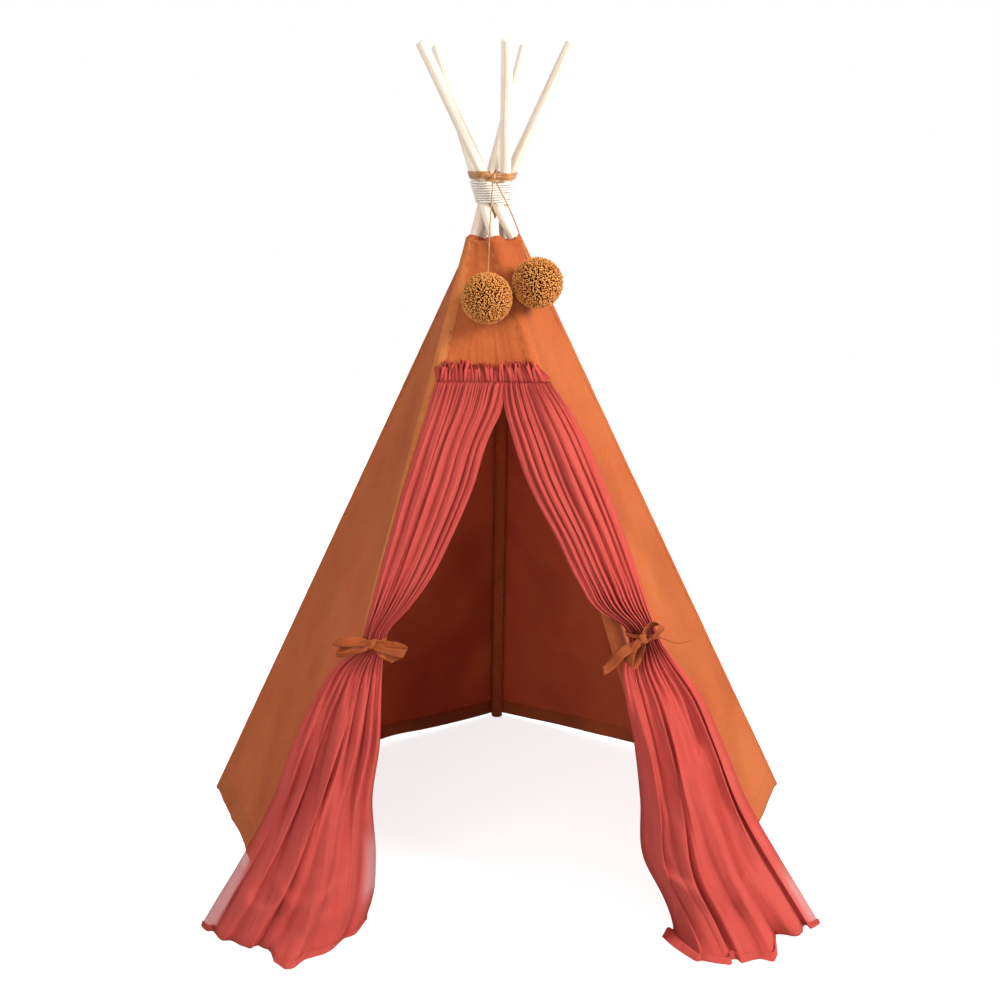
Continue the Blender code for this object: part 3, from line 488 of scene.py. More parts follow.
class Wall:
    """One side of the tent: the place of its cloth between two poles, and how it folds."""

    def __init__(self, index):
        self.name = SIDE_NAMES[index]
        self.body = f"{self.name}_cover"
        self.start, self.end = poles[index], poles[(index + 1) % len(poles)]
        self.seed = 31 + 10 * index
        self.drag = BACK_DRAG_LINE if "back" in self.name else DRAG_LINE
        self.joint = joints[f"{self.name}_cover_fold"]
        doorway = self.name == "front"
        self.hem_depth = FRONT_HEM_DEPTH if doorway else HEM_DEPTH
        self.lowest = heading_seam - FRONT_HEM_DEPTH if doorway else WALL_FOOT

    def spread(self, height):
        """Where the start pole is at each height, the ways along and out of the wall, and its width."""
        start, end = self.start.at(height), self.end.at(height)
        width = np.linalg.norm(end - start, axis=-1)
        along = (end - start) / width[..., None]
        return start, along, np.cross(along, UP), width

    def point(self, share, height, out):
        """Points at a share of the way to the next pole, and out from the plane through both poles."""
        start, along, outward, width = self.spread(height)
        return start + along * (share * width)[..., None] + outward * np.asarray(out)[..., None]

    def drag_lines(self, share, height):
        """Two sets of slanting drag lines across the cloth, each from -1 to 1."""
        width = self.spread(height)[3]
        across, middle = share * width, (share - 0.5) * width
        slanting = soft_noise(self.seed + 1, middle * 7 + height * 4.2, (across - height) * 1.3)
        crossing = soft_noise(self.seed + 2, middle * 8 - height * 5.1, (across + height) * 1.5)
        return slanting, crossing

    def crease(self, share, height):
        """How far the cloth is creased, from 0 to 1, which sets its painted shade: between its drag lines, most on
        the slack back walls.
        """
        slanting, crossing = self.drag_lines(share, height)
        return self.drag / BACK_DRAG_LINE * np.clip(0.36 - 1.2 * (slanting + crossing), 0, 1)

    def stand(self, share, height):
        """How far the cloth stands from its plane: sag, hanging folds, drag lines, puckers and ripples."""
        slack = np.sin(np.pi * share) ** 0.8
        low = 1 - height / cover_top
        edge = np.minimum(share, 1 - share) * self.spread(height)[3]
        hanging = soft_noise(self.seed, share * 5.5, height * 0.9)
        slanting, crossing = self.drag_lines(share, height)
        stand = slack * (HANGING_FOLD * (0.25 + 0.75 * low) * hanging - SAG * np.sin(np.pi * low))
        stand += slack * self.drag * (0.3 + 0.7 * low) * (slanting + crossing)
        ridge = np.exp(-((np.abs(slanting) / 0.07) ** 2)) - np.exp(-((np.abs(crossing) / 0.06) ** 2))
        stand += slack * CREASE_RIDGE * ridge
        pull = np.sin(2 * np.pi * height / PUCKER_PITCH + 3 * hanging)
        stand += SEAM_PUCKER * np.exp(-edge / PUCKER_REACH) * pull * (edge > 0.0005)
        stand += SEAM_LIFT * np.exp(-((edge / SEAM_LAP) ** 4))
        if self.name == "front":
            above = np.maximum(height - heading_seam, 0)
            gathers = soft_noise(self.seed + 3, share * 26, height * 3)
            stand += DOORWAY_GATHER * slack * np.exp(-above / DOORWAY_GATHER_REACH) * gathers
        else:
            ripple = soft_noise(self.seed + 4, share * 7, height * 1.5)
            stand += HEM_RIPPLE * slack * np.exp(-height / HEM_RIPPLE_REACH) * ripple
            from_stitch = height - self.bottom(share) - HEM_DEPTH + HEM_STITCH_INSET
            stand -= HEM_GROOVE * np.exp(-((from_stitch / HEM_GROOVE_HALF) ** 2))
        from_top = self.top(share) - height - TOP_GROOVE_DROP
        stand -= TOP_GROOVE * np.exp(-((from_top / TOP_GROOVE_HALF) ** 2))
        return stand

    def bottom(self, share):
        """Height of the lower edge, which lifts between the poles."""
        if self.name == "front":
            return np.full_like(share, self.lowest)
        rise = soft_noise(self.seed + 6, share * 2.5)
        return self.lowest + HEM_LIFT * np.sin(np.pi * share) ** 2 * (0.9 + 0.5 * rise)

    def top(self, share):
        """Height of the upper edge, which dips between the poles."""
        return cover_top - TOP_EDGE_DIP * np.sin(np.pi * share)

    def surface(self, share, height, lift=0.0):
        """Points of the cloth's outer face, lifted off it by so much."""
        return self.point(share, height, wall_out + SEAM_LIFT + self.stand(share, height) + lift)

    def slant(self, height):
        """Length up the cloth at a height."""
        return height / math.cos(wall_lean)

    def gather(self, piece):
        """Rides with this side, on a mesh of its own."""
        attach(piece, self.body)
        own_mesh(piece)

    def flat_size(self, low, high):
        """Width and length of the flat cut of a sheet between two heights, and its area."""
        lower, upper = self.spread(np.array(low))[3], self.spread(np.array(high))[3]
        length = self.slant(high) - self.slant(low)
        return (float(lower), float(length)), float((lower + upper) / 2 * length)


pole_slope = math.hypot(*poles[0].direction[:2]) / poles[0].direction[2]
wall_lean = math.atan(math.cos(math.pi / len(poles)) * pole_slope)
walls = [Wall(index) for index in range(len(poles))]


def grid_faces(columns, rows):
    """Faces of a sheet whose points stand row by row."""
    faces = []
    for row in range(rows):
        for column in range(columns):
            corner = row * (columns + 1) + column
            faces.append((corner, corner + 1, corner + columns + 2, corner + columns + 1))
    return faces


def store_shares(piece, name, values):
    """Keeps one number for each vertex under a name that the material reads."""
    attribute = piece.data.attributes.new(name, "FLOAT", "POINT")
    attribute.data.foreach_set("value", np.asarray(values, np.float32))


def store_cloth(piece, across, up):
    """Keeps the flat cloth's coordinates in metres, which the weave follows."""
    store_vectors(piece, "cloth", np.column_stack([across, up, np.zeros(len(up))]))


def applied(piece):
    """Makes a piece with modifiers a plain mesh."""
    evaluated = piece.evaluated_get(bpy.context.evaluated_depsgraph_get())
    mesh = bpy.data.meshes.new_from_object(evaluated)
    piece.modifiers.clear()
    piece.data = mesh
    return piece


def thicken(piece, wall):
    """Gives a sheet its thickness, inwards, as one closed mesh."""
    solid = piece.modifiers.new("cloth", "SOLIDIFY")
    solid.thickness = wall
    solid.offset = -1
    solid.use_even_offset = False
    return applied(piece)


def wall_sheet(name, wall, low, high, lift, row_step, finish=canvas):
    """A sheet that follows a wall's cloth between two heights, given as functions of the share."""
    steps = np.arange(PANEL_COLUMNS + 1) / PANEL_COLUMNS
    shares = 0.55 * steps + 0.45 * (1 - np.cos(np.pi * steps)) / 2
    rows = max(3, round((high(shares).max() - low(shares).min()) / row_step))
    rise, share = crossed(np.arange(rows + 1) / rows, shares)
    height = low(share) + rise * (high(share) - low(share))
    piece = new_piece(name, wall.surface(share, height, lift), grid_faces(PANEL_COLUMNS, rows), finish)
    store_cloth(piece, (share - 0.5) * wall.spread(height)[3] + wall.seed, wall.slant(height))
    # The mask of painted shade between the drag lines.
    store_shares(piece, "crease", wall.crease(share, height))
    return thicken(piece, PANEL_WALL)


for wall in walls:
    piece = wall_sheet(f"{wall.name}_wall_cloth", wall, wall.bottom, wall.top, 0.0, PANEL_ROW_STEP)
    wall.gather(piece)
    fitted(piece, node=f"{wall.name}_panel")
    flat, area = wall.flat_size(wall.lowest, cover_top)

# Hems: the lower edge of each panel, turned up inside and stitched down.
# The doorway's is narrow, and the muslin's tape is sewn over it.

HEM_LIFT_IN = -0.0016
HEM_ROW_STEP = 0.008

# The turned hems are the canvas copy with painted shade.
for wall in walls:
    piece = wall_sheet(
        f"{wall.name}_turned_hem", wall, wall.bottom, lambda share, w=wall: w.bottom(share) + w.hem_depth,
        HEM_LIFT_IN, HEM_ROW_STEP, shaded_doubled_canvas,
    )
    wall.gather(piece)
    fitted(piece, node=f"{wall.name}_hem")
    flat, area = wall.flat_size(wall.lowest, wall.lowest + wall.hem_depth)

# Pocket strips: each pole's pocket laps over the corner between two panels and is stitched down on both.
# It is one more layer of the canvas. One has painted light, paler where it faces the light; the other, beside the
# curtain's tie, has painted shade from just below the heading down.

POCKET_FLAP = 0.0085
POCKET_LIFT = 0.0022
POCKET_ARC_STEPS = 14
POCKET_TOP_RISE = 0.0015
POCKET_FOOT = 0.004
POCKET_DRAG = 0.0007
POCKET_EDGE_DROP = 0.0012
LIT_POLE = "front_left"
SHADED_POLE = "front_right"
SHADED_BELOW = 0.04
# Colours of the strip with painted light.
LIT_POCKET_LIGHT = (0.740, 0.230, 0.062, 1)
LIT_POCKET_DEEP = (0.640, 0.165, 0.038, 1)

lit_pocket_canvas = cloth_material(
    "rubbed_pocket_canvas", LIT_POCKET_LIGHT, LIT_POCKET_DEEP, *CANVAS_WEAVE, 0.10, 0.20, *CANVAS_TINTS
)


def pocket_section():
    """Places over the corner: how far along the first wall, the turn between the walls, along the second."""
    flap = [(1 - step / 3, 0.0, 0.0) for step in range(3)]
    arc = [(0.0, step / POCKET_ARC_STEPS, 0.0) for step in range(POCKET_ARC_STEPS + 1)]
    return np.array(flap + arc + [(0.0, 1.0, (step + 1) / 3) for step in range(3)])


def pocket_strip(index):
    """The strip and its rows of points, which its stitches follow."""
    pole, before, after = poles[index], walls[index - 1], walls[index]
    section = pocket_section()
    steps = round(cover_top / SLEEVE_RING_STEP)
    heights = POCKET_FOOT + (cover_top + POCKET_TOP_RISE - POCKET_FOOT) * np.arange(steps + 1) / steps
    height, column = crossed(heights, np.arange(len(section)))
    first, turned, second = section[column].T
    _, along_before, out_before, _ = before.spread(height)
    _, along_after, out_after, _ = after.spread(height)
    way = out_before * (1 - turned)[:, None] + out_after * turned[:, None]
    way /= np.linalg.norm(way, axis=1)[:, None]
    creep = soft_noise(60 + index, height * 7, column * 0.1)
    drag = soft_noise(65 + index, height * 34 + column * 0.25, column * 0.2)
    stand = wall_out + POCKET_LIFT + POCKET_DRAG * drag - POCKET_EDGE_DROP * (first + second)
    flap = POCKET_FLAP * (1 + 0.12 * creep)
    points = pole.at(height) + way * stand[:, None]
    points += along_after * (second * flap)[:, None] - along_before * (first * flap)[:, None]
    # The front-left strip has painted light.
    finish = lit_pocket_canvas if pole.name == LIT_POLE else canvas
    piece = new_piece(f"{pole.name}_pocket_strip", points, grid_faces(len(section) - 1, steps), finish)
    # Painted shade on the front-right strip below the heading: the shaded copy of the canvas.
    if pole.name == SHADED_POLE:
        piece.data.materials.append(shaded_doubled_canvas)
        for face in piece.data.polygons:
            face.material_index = int(face.center.z < heading_seam - SHADED_BELOW)
    store_cloth(piece, (second - first) * POCKET_FLAP + turned * wall_out + index, height)
    return thicken(piece, PANEL_WALL), points.reshape(steps + 1, len(section), 3)


pocket_edges = []
for index, pole in enumerate(poles):
    piece, rows = pocket_strip(index)
    pocket_edges.append((rows[:, 1] * 0.6 + rows[:, 0] * 0.4, rows[:, -2] * 0.6 + rows[:, -1] * 0.4))
    length = float(np.linalg.norm(rows[-1, 3] - rows[0, 3]))
    fitted(piece, pole.body)

# Heading: the muslin is gathered on a tape along the doorway's top, with a ruffle standing above the seam.
# The gathers are drawn up by hand, so they are uneven, and the ruffle's edge is pinched and wavy.

RUFFLE_HEIGHT = 0.035
RUFFLE_COLUMNS = 620
RUFFLE_ROWS = 14
RUFFLE_PETALS = 33
RUFFLE_STAND = 0.0160
RUFFLE_SEAT = 0.0012
RUFFLE_LEAST_STAND = 0.0020
RUFFLE_SEAM_DROP = 0.003
RUFFLE_CURL = 0.007
RUFFLE_FRILL = 0.003
RUFFLE_END_DROP = 0.02
RUFFLE_LENGTH = 0.46
RUFFLE_END_SHARES = (-1.02, 1.27)
RUFFLE_CLOSED_END_SHARE = 0.05
RUFFLE_CREASE_DEPTH = 0.0030
TAPE_HEIGHT = 0.012
TAPE_STAND = 0.0018
TAPE_END_SHARE = 1.02
TAPE_GATHERS = 60
TAPE_GATHER_STAND = 0.0004
TAPE_CREASE_DEPTH = 0.002
TAPE_COLUMNS = 160
TAPE_ROWS = 3
MUSLIN_WALL = 0.0005
MUSLIN_LIGHT = (0.930, 0.148, 0.112, 1)
MUSLIN_DEEP = (0.860, 0.112, 0.086, 1)
# The muslin's sheen tint, the colour of light through it, and its painted shade in creases and at the seam.
MUSLIN_TINTS = ((1.0, 0.55, 0.45, 1), (0.90, 0.15, 0.11, 1), (0.64, 0.40, 0.42, 1))
MUSLIN_WEAVE = (0.0007, 0.006, 0.0005)
MUSLIN_CRINKLE = 0.0030
CREASE_COLUMNS = 9
SEAM_SHADE = 0.0032

front = walls[SIDE_NAMES.index("front")]


def muslin_material():
    """Open-weave muslin: crinkled lengthwise, with painted shade in the crinkles' valleys, light through it, and
    sheer where one layer hangs free.
    """
    made = cloth_material(
        "coral_muslin_gauze", MUSLIN_LIGHT, MUSLIN_DEEP, *MUSLIN_WEAVE, 0.08, 0.32, *MUSLIN_TINTS, 0.20
    )
    tree = made.node_tree
    shader = tree.nodes["Principled BSDF"]
    bump = shader.inputs["Normal"].links[0].from_node
    weave = bump.inputs["Height"].links[0].from_socket
    crinkle = noise_at(tree, placed_by(tree, "cloth", (210, 11, 1)), 1.0, 4.0, 0.62)
    feed(tree, bump.inputs["Height"], mixed(tree, "MIX", 0.70, weave, crinkle))
    feed(tree, bump.inputs["Distance"], MUSLIN_CRINKLE)
    colour = shader.inputs["Base Color"].links[0].from_socket
    # Painted shade in the crinkles' valleys.
    shade = ramp_of(tree, crinkle, (0.34, 0.82), (0.58, 1.0))
    set_surface(tree, shader, mixed(tree, "MULTIPLY", 1.0, colour, shade))
    sheer = add_node(tree, "ShaderNodeAttribute", attribute_name="sheer").outputs["Fac"]
    solid = counted(tree, "SUBTRACT", 0.95, counted(tree, "MULTIPLY", sheer, 0.36))
    clear = add_node(tree, "ShaderNodeBsdfTransparent").outputs[0]
    output = tree.nodes["Material Output"].inputs["Surface"]
    tree.links.new(blended(tree, solid, clear, output.links[0].from_socket), output)
    return made


muslin = muslin_material()


def crease_shade_shares(points, columns, depth):
    """How far each point lies back from the cloth beside it, in shares of a depth: the mask of painted shade in
    creases.
    """
    outward = front.spread(np.array(0.0))[2]
    rows = (np.array(points) @ outward).reshape(-1, columns + 1)
    padded = np.pad(rows, ((0, 0), (CREASE_COLUMNS + 1, CREASE_COLUMNS)), mode="edge")
    total = np.cumsum(padded, axis=1)
    beside = 2 * CREASE_COLUMNS + 1
    mean = (total[:, beside:] - total[:, :-beside]) / beside
    return np.clip((mean - rows) / depth, 0, 1).ravel()


def muslin_sheet(name, columns, rows, place, cloth_size, crease_depth, seam_up, sheer=None):
    """A sheet of muslin, with painted shade in its creases and most at its seam. place(across, up) gives its
    points at arrays of shares.
    """
    up, across = crossed(np.arange(rows + 1) / rows, np.arange(columns + 1) / columns)
    points = place(across, up)
    piece = new_piece(name, points, grid_faces(columns, rows), muslin)
    # Painted shade along the seam.
    seam_shade = np.exp(-np.abs(up - seam_up) * cloth_size[1] / SEAM_SHADE)
    store_shares(piece, "crease", np.maximum(crease_shade_shares(points, columns, crease_depth), seam_shade))
    store_cloth(piece, across * cloth_size[0], up * cloth_size[1])
    store_shares(piece, "sheer", np.zeros(len(up)) if sheer is None else sheer(across, up))
    return thicken(piece, MUSLIN_WALL)


class Folds:
    """Uneven folds side by side: each has its own width, size and lean, and sharp creases part them."""

    def __init__(self, count, seed, least=0.5):
        draw = np.random.default_rng(seed)
        widths = draw.uniform(least, 1.5, count)
        self.numbers = np.arange(count + 1)
        self.edges = np.concatenate([[0], np.cumsum(widths)]) / widths.sum()
        self.sizes = draw.uniform(least, 1.0, count + 1)
        self.leans = draw.uniform(-1, 1, count + 1)

    def across(self, share):
        """Height from 0 in a crease to 1 on a crest, the way through a fold in turns, its size and lean."""
        through = np.interp(share, self.edges, self.numbers)
        number = np.minimum(through.astype(int), len(self.numbers) - 2)
        size, lean = self.sizes[number], self.leans[number]
        return np.abs(np.sin(np.pi * through)) ** 0.75 * size, through - number, size, lean


def ruffle_place(across, up):
    """Petals drawn up at the seam: each opens upwards, curls over its neighbours and ends uneven."""
    wander = soft_noise(71, across * 9, up * 1.1)
    rise, through, size, lean = ruffle_folds.across(np.clip(across + 0.006 * wander, 0, 1))
    closed = np.clip((np.abs(2 * across - 1) - 1) / (2 * RUFFLE_CLOSED_END_SHARE) + 1, 0, 1)
    open_share = (0.14 + 0.86 * np.sin(np.pi / 2 * up) ** 0.8) * (1 - 0.6 * closed)
    turn = 2 * np.pi * through
    start, end = RUFFLE_END_SHARES
    pitch = (end - start) / RUFFLE_PETALS
    share = start + across * (end - start) - 0.36 * pitch * np.sin(turn) * open_share
    share += 1.05 * pitch * lean * up ** 2 + 0.035 * np.sign(across - 0.5) * closed
    frill = soft_noise(72, across * 110, up * 1.5)
    edge = 0.70 + 0.34 * size + 0.16 * np.cos(turn + 2.5 * lean) + 0.09 * wander + 0.12 * frill * up
    rising = 0.5 + (up - 0.5) * (1 - 0.75 * closed)
    height = heading_seam - RUFFLE_SEAM_DROP + RUFFLE_HEIGHT * rising * edge
    curl = RUFFLE_CURL * lean * up ** 2 + RUFFLE_FRILL * wander * up + RUFFLE_FRILL * frill * up
    out = wall_out + TAPE_STAND + RUFFLE_SEAT + RUFFLE_STAND * rise * open_share + curl
    out -= RUFFLE_END_DROP * np.maximum(np.abs(share) - TAPE_END_SHARE, 0)
    return front.point((1 + share) / 2, height, np.maximum(out, wall_out + RUFFLE_LEAST_STAND))


def tape_place(across, up):
    """A flat strip, a little wavy where the muslin's gathers pull at it."""
    height = heading_seam + (up - 0.5) * TAPE_HEIGHT
    share = (2 * across - 1) * TAPE_END_SHARE
    out = wall_out + TAPE_STAND + TAPE_GATHER_STAND * np.sin(2 * np.pi * TAPE_GATHERS * across)
    return front.point((1 + share) / 2, height, out)


ruffle_folds = Folds(RUFFLE_PETALS, 79, 0.3)
heading_width = float(front.spread(np.array(heading_seam))[3])
ruffle_size, tape_size = (RUFFLE_LENGTH, RUFFLE_HEIGHT), (heading_width, TAPE_HEIGHT)
ruffle = muslin_sheet(
    "gathered_ruffle", RUFFLE_COLUMNS, RUFFLE_ROWS, ruffle_place, ruffle_size, RUFFLE_CREASE_DEPTH, 0
)
# The tape lies in the seam's painted shade.
tape = muslin_sheet("heading_tape", TAPE_COLUMNS, TAPE_ROWS, tape_place, tape_size, TAPE_CREASE_DEPTH, 0.5)
for piece, node in ((ruffle, "curtain_ruffle"), (tape, "gathering_tape")):
    front.gather(piece)
    fitted(piece, node=node)

# Curtains: two widths of muslin, gathered on the tape, drawn to a tight bundle and let out over the floor.
# Each row gives shares: height of the heading's, inner and outer edge of the half width between the
# front poles, and bundle, fold and sweep of the sizes with those names.

LEFT_CURTAIN_SHARES = (
    (1.000, -0.44, 0.98, 0.00, 0.30, 0.00),
    (0.950, -0.27, 1.01, 0.00, 0.42, 0.00),
    (0.900, -0.04, 1.03, 0.04, 0.55, 0.00),
    (0.800, 0.20, 1.06, 0.10, 0.70, 0.00),
    (0.720, 0.39, 1.06, 0.22, 0.65, 0.00),
    (0.640, 0.57, 1.06, 0.45, 0.45, 0.00),
    (0.590, 0.72, 1.05, 0.80, 0.22, 0.00),
    (0.552, 0.85, 1.05, 1.00, 0.06, 0.00),
    (0.524, 0.86, 1.05, 1.00, 0.06, 0.00),
    (0.490, 0.84, 1.18, 0.72, 0.30, 0.00),
    (0.430, 0.80, 1.27, 0.36, 0.60, 0.06),
    (0.350, 0.75, 1.31, 0.22, 0.80, 0.22),
    (0.240, 0.73, 1.32, 0.14, 0.90, 0.50),
    (0.120, 0.65, 1.38, 0.10, 1.00, 0.80),
    (0.050, 0.63, 1.43, 0.08, 1.00, 0.90),
    (0.000, 0.65, 1.46, 0.08, 1.00, 1.00),
)
RIGHT_CURTAIN_SHARES = (
    (1.000, 0.32, 1.26, 0.00, 0.30, 0.00),
    (0.955, 0.30, 1.38, 0.00, 0.42, 0.00),
    (0.900, 0.37, 1.45, 0.04, 0.55, 0.00),
    (0.830, 0.47, 1.46, 0.10, 0.70, 0.00),
    (0.714, 0.71, 1.43, 0.22, 0.65, 0.00),
    (0.637, 0.82, 1.40, 0.45, 0.45, 0.00),
    (0.590, 0.92, 1.38, 0.80, 0.22, 0.00),
    (0.560, 1.10, 1.37, 1.00, 0.06, 0.00),
    (0.535, 1.11, 1.37, 1.00, 0.06, 0.00),
    (0.490, 1.00, 1.42, 0.72, 0.30, 0.00),
    (0.430, 0.95, 1.49, 0.36, 0.60, 0.06),
    (0.350, 0.92, 1.50, 0.22, 0.80, 0.22),
    (0.240, 0.86, 1.49, 0.14, 0.90, 0.45),
    (0.120, 0.79, 1.53, 0.10, 1.00, 0.70),
    (0.050, 0.84, 1.56, 0.08, 1.00, 0.80),
    (0.000, 0.87, 1.58, 0.08, 1.00, 0.85),
)
# Long folds below the tie: share across at the tie and at the hem, width, depth in metres, and lean.
LEFT_LONG_FOLDS = (
    (0.78, 0.97, 0.065, 0.022, -0.35),
    (0.60, 0.86, 0.060, 0.022, -0.45),
    (0.38, 0.68, 0.085, 0.032, -0.60),
    (0.30, 0.54, 0.045, 0.010, -0.3),
    (0.18, 0.40, 0.095, 0.022, -0.45),
    (0.10, 0.19, 0.055, 0.014, -0.4),
    (0.03, 0.06, 0.040, 0.012, -0.3),
)
RIGHT_LONG_FOLDS = (
    (0.14, 0.09, 0.070, 0.026, 0.5),
    (0.40, 0.25, 0.060, 0.026, 0.7),
    (0.55, 0.42, 0.060, 0.012, -0.4),
    (0.72, 0.58, 0.070, 0.014, 0.5),
    (0.84, 0.78, 0.075, 0.026, 0.55),
    (0.94, 0.94, 0.045, 0.020, -0.5),
)
# Short folds where the cloth drops on itself: share across and up at both ends, bow and width shares,
# depth in metres, and how steep the upper side is.
LEFT_SHORT_FOLDS = (
    (0.74, 0.125, 0.20, 0.120, 0.040, 0.022, 0.013, 0.6),
    (0.92, 0.090, 0.62, 0.085, 0.020, 0.026, 0.014, 0.5),
    (0.50, 0.060, 0.08, 0.070, 0.012, 0.020, 0.009, 0.7),
)
RIGHT_SHORT_FOLDS = (
    (0.34, 0.290, 0.80, 0.350, 0.024, 0.050, 0.014, 0.40),
    (0.38, 0.345, 0.80, 0.400, 0.022, 0.045, -0.011, 1.0),
    (0.44, 0.075, 0.82, 0.140, 0.010, 0.022, 0.014, 0.5),
    (0.02, 0.150, 0.30, 0.100, 0.010, 0.024, 0.012, 0.6),
)
# How far the hem runs out over the floor: share across, and share of the run.
LEFT_RUN_SHARES = (
    (0, 0.1), (0.12, 0.5), (0.3, 0.8), (0.44, 1.2), (0.50, 1.0), (0.545, -0.6), (0.8, -0.4), (1, 0),
)
RIGHT_RUN_SHARES = (
    (0, 1.35), (0.1, 1.15), (0.4, 1.0), (0.58, 1.25), (0.62, 1.1), (0.66, -0.7), (0.9, -0.2), (1, 0.2),
)
LEFT_SIDEWAYS_RUN = 0.004
RIGHT_SIDEWAYS_RUN = 0.030
LEFT_TIE_SHARE = 0.538
RIGHT_TIE_SHARE = 0.548
CURTAIN_COLUMNS = 232
CURTAIN_ROWS = 210
CURTAIN_STAND = 0.0041
CURTAIN_CUT_WIDTH = 0.86
CURTAIN_CREASE_DEPTH = 0.006
CURTAIN_SEAM_DROP = 0.001
SEAT_STAND = 0.0010
SEAT_DROP = 0.004
GATHERS = 27
GATHER_STAND = 0.0065
GATHER_DROP = 0.035
LOW_GATHER_STAND = 0.0028
LOW_GATHER_DROP = 0.12
GATHER_LEAN = 0.0016
GATHER_LEAN_DROP = 0.05
FOLD_DEPTH = 0.029
BROAD_FOLDS = 9
BROAD_LEAN = 0.011
NARROW_FOLDS = 19
NARROW_LEAN = 0.005
BUNDLE_DEPTH = 0.036
BUNDLE_PLEATS = 14
CRUMPLE = 0.0012
LOOSE_WANDER = 0.012
LOOSE_DETAIL = 0.005
WRAP_SHARE = 0.6
HEM_SWEEP = 0.115
FLOOR_CLEAR = 0.0035
FLOOR_SOFTENING = 0.018
LYING_SHARE = 0.040
LYING_RUN = 0.043
LYING_LIFT = 0.002
LYING_BUMP = 0.007
LYING_CURL = 0.004
LYING_CURL_ASIDE = 0.006


def eased_rows(shares, up):
    """Rows of a table of shares at an array of heights, on smooth curves through the table's rows."""
    table = np.array(shares)[::-1]
    heights = table[:, 0]
    slopes = np.gradient(table[:, 1:], heights, axis=0)
    above = np.clip(np.searchsorted(heights, up, side="right"), 1, len(table) - 1)
    below = above - 1
    step = (heights[above] - heights[below])[:, None]
    t = (up - heights[below])[:, None] / step
    rows = (2 * t**3 - 3 * t**2 + 1) * table[below, 1:] + (3 * t**2 - 2 * t**3) * table[above, 1:]
    rows += step * ((t**3 - 2 * t**2 + t) * slopes[below] + (t**3 - t**2) * slopes[above])
    return np.maximum(rows.T, [[-2], [-2], [0], [0], [0]])


def curtain_height(up):
    """Height of the hanging cloth, from the floor to the heading."""
    return FLOOR_CLEAR + up * (heading_seam - CURTAIN_SEAM_DROP - FLOOR_CLEAR)


def long_folds(folds, across, fall):
    """Out and sideways shifts of the long folds, steep on the side that they lean to."""
    out, sideways = np.zeros_like(across), np.zeros_like(across)
    for at_tie, at_hem, width, depth, lean in folds:
        centre = at_hem + (at_tie - at_hem) * (1 - fall) ** 1.4
        side = (across - centre) / (width * (0.55 + 0.45 * fall)) * np.sign(lean)
        crest = np.exp(-(np.where(side > 0, side / (1 - 0.62 * abs(lean)), side) ** 2))
        out += depth * crest
        sideways += 0.75 * lean * depth * crest
    return out, sideways


def short_folds(folds, across, up):
    """Out and upward shifts of the short folds that lie across the cloth and lap over it."""
    out, rise = np.zeros_like(across), np.zeros_like(across)
    for start, start_up, end, end_up, bow, width, depth, steep in folds:
        way = np.clip((across - start) / (end - start), 0, 1)
        inside = np.sin(np.pi * way) ** 0.7
        side = (up - start_up - (end_up - start_up) * way + 4 * bow * way * (1 - way)) / width
        crest = depth * inside * np.exp(-(np.where(side > 0, side / steep, side) ** 2))
        out += crest
        rise += 0.8 * (1 - steep) * crest
    return out, rise


